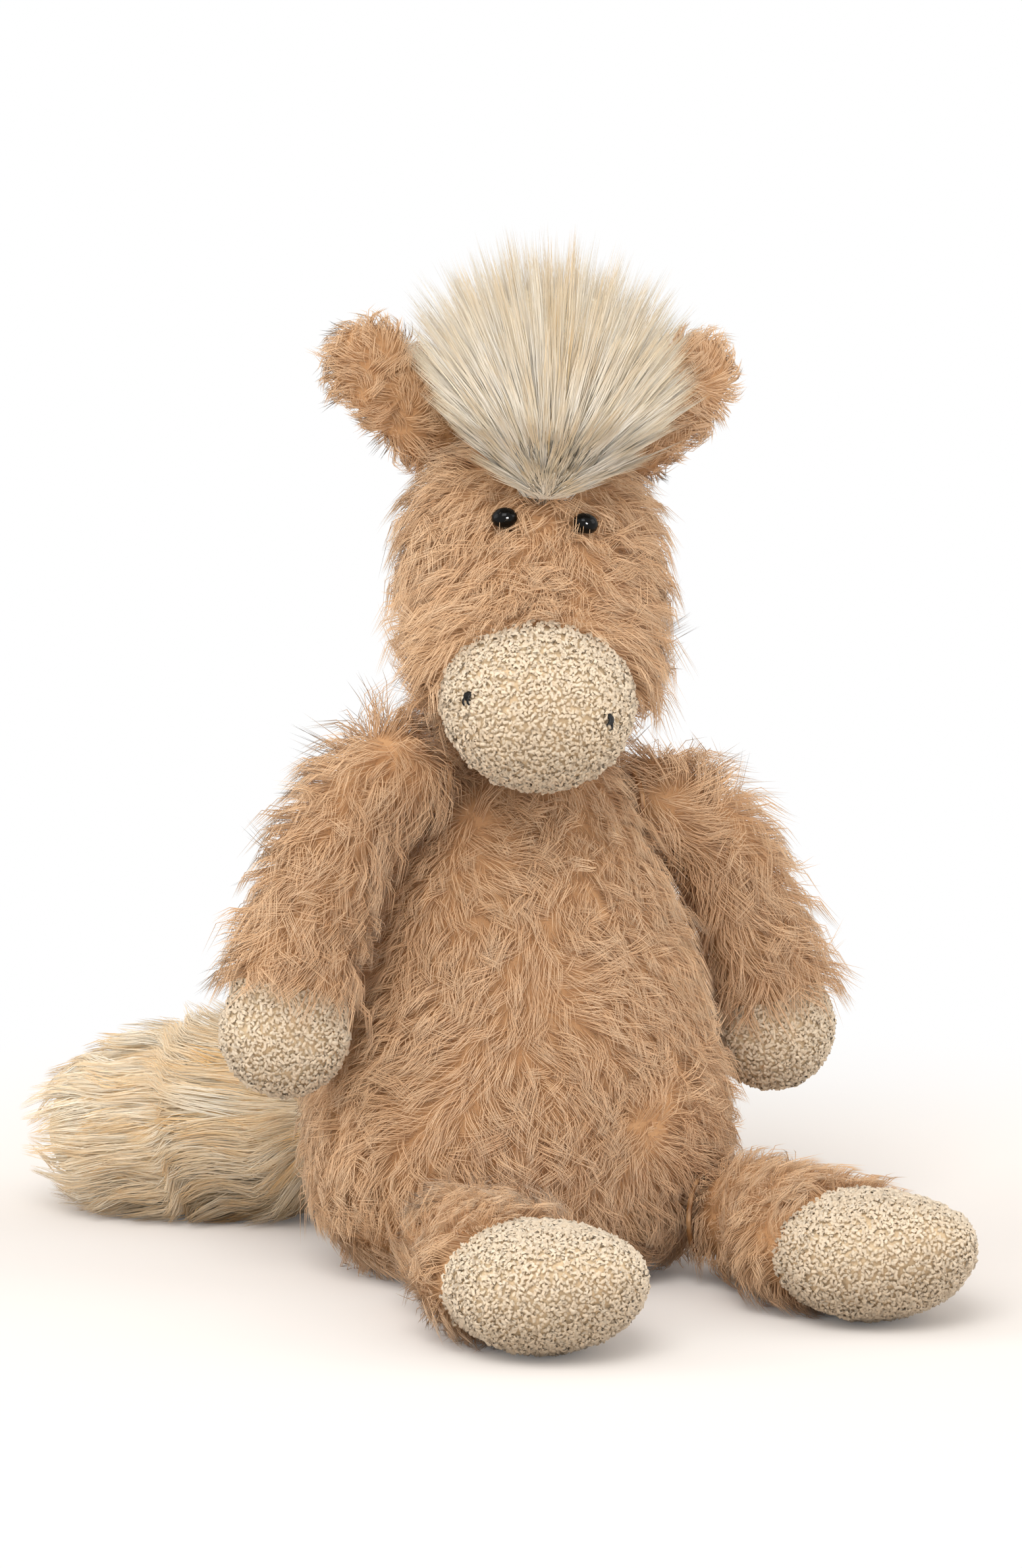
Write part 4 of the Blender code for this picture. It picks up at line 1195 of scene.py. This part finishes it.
# Name, place and size in metres, and watts.
LIGHTS = (
    ("key_light", (-1.1, -1.5, 1.7), 1.1, 22),
    ("fill_light", (1.5, -1.2, 0.9), 1.2, 9),
    ("side_light", (-1.7, 0.5, 0.8), 1.2, 9),
    ("eye_glint", (-0.2, -1.7, 0.14), 0.42, 60),
)


def seen_straight(tree):
    """One for a ray that comes from the camera, also by a reflection or through something clear."""
    ray = add_node(tree, "ShaderNodeLightPath")
    seen = ray.outputs["Is Camera Ray"]
    for kind in ("Is Glossy Ray", "Is Transmission Ray"):
        either = add_node(
            tree, "ShaderNodeMath", {0: seen, 1: ray.outputs[kind]}, operation="MAXIMUM"
        )
        seen = either.outputs[0]
    return seen


# White paper, which glows white where it is seen, but shows its shading close round the toy.
bpy.ops.object.select_all(action="DESELECT")
bpy.ops.mesh.primitive_plane_add(size=FLOOR_SIZE, location=(0, 0, 0))
floor = bpy.context.object
floor.name = "floor"
white, tree = new_material("white_floor")
paper = add_node(tree, "ShaderNodeBsdfDiffuse", {"Color": linear("#E2DCD6"), "Roughness": 1.0})
glow = add_node(tree, "ShaderNodeEmission", {"Color": linear("#FFFFFF"), "Strength": 1.0})
place = add_node(tree, "ShaderNodeTexCoord").outputs["Object"]
away = add_node(tree, "ShaderNodeVectorMath", {0: place}, operation="LENGTH")
share = add_node(
    tree,
    "ShaderNodeMapRange",
    {
        "Value": away.outputs["Value"],
        "From Min": SHADOW_RADII[0],
        "From Max": SHADOW_RADII[1],
        "To Min": SHADOW_WHITE,
        "To Max": 1.0,
    },
    interpolation_type="SMOOTHSTEP",
)
shown = add_node(
    tree, "ShaderNodeMath", {0: seen_straight(tree), 1: share.outputs[0]}, operation="MULTIPLY"
)
finish_material(
    tree,
    add_node(
        tree,
        "ShaderNodeMixShader",
        {0: shown.outputs[0], 1: paper.outputs[0], 2: glow.outputs[0]},
    ),
)
floor.data.materials.append(white)

world = bpy.data.worlds.new("studio")
bpy.context.scene.world = world
world.use_nodes = True
tree = world.node_tree
tree.nodes.clear()
level = add_node(
    tree,
    "ShaderNodeMapRange",
    {"Value": seen_straight(tree), "To Min": SKY_STRENGTH, "To Max": 1.0},
)
sky = add_node(
    tree,
    "ShaderNodeBackground",
    {"Color": linear("#FFFFFF"), "Strength": level.outputs[0]},
)
add_node(tree, "ShaderNodeOutputWorld", {"Surface": sky.outputs[0]})

for name, place, size, watts in LIGHTS:
    light = bpy.data.lights.new(name, "AREA")
    light.shape = "SQUARE"
    light.size = size
    light.energy = watts
    lamp = bpy.data.objects.new(name, light)
    lamp.location = place
    lamp.visible_camera = False
    lamp.visible_diffuse = name != "eye_glint"
    aim = LIGHTS_AIM - Vector(place)
    lamp.rotation_euler = aim.to_track_quat("-Z", "Y").to_euler()
    bpy.context.scene.collection.objects.link(lamp)
bpy.context.scene.view_settings.view_transform = "Standard"
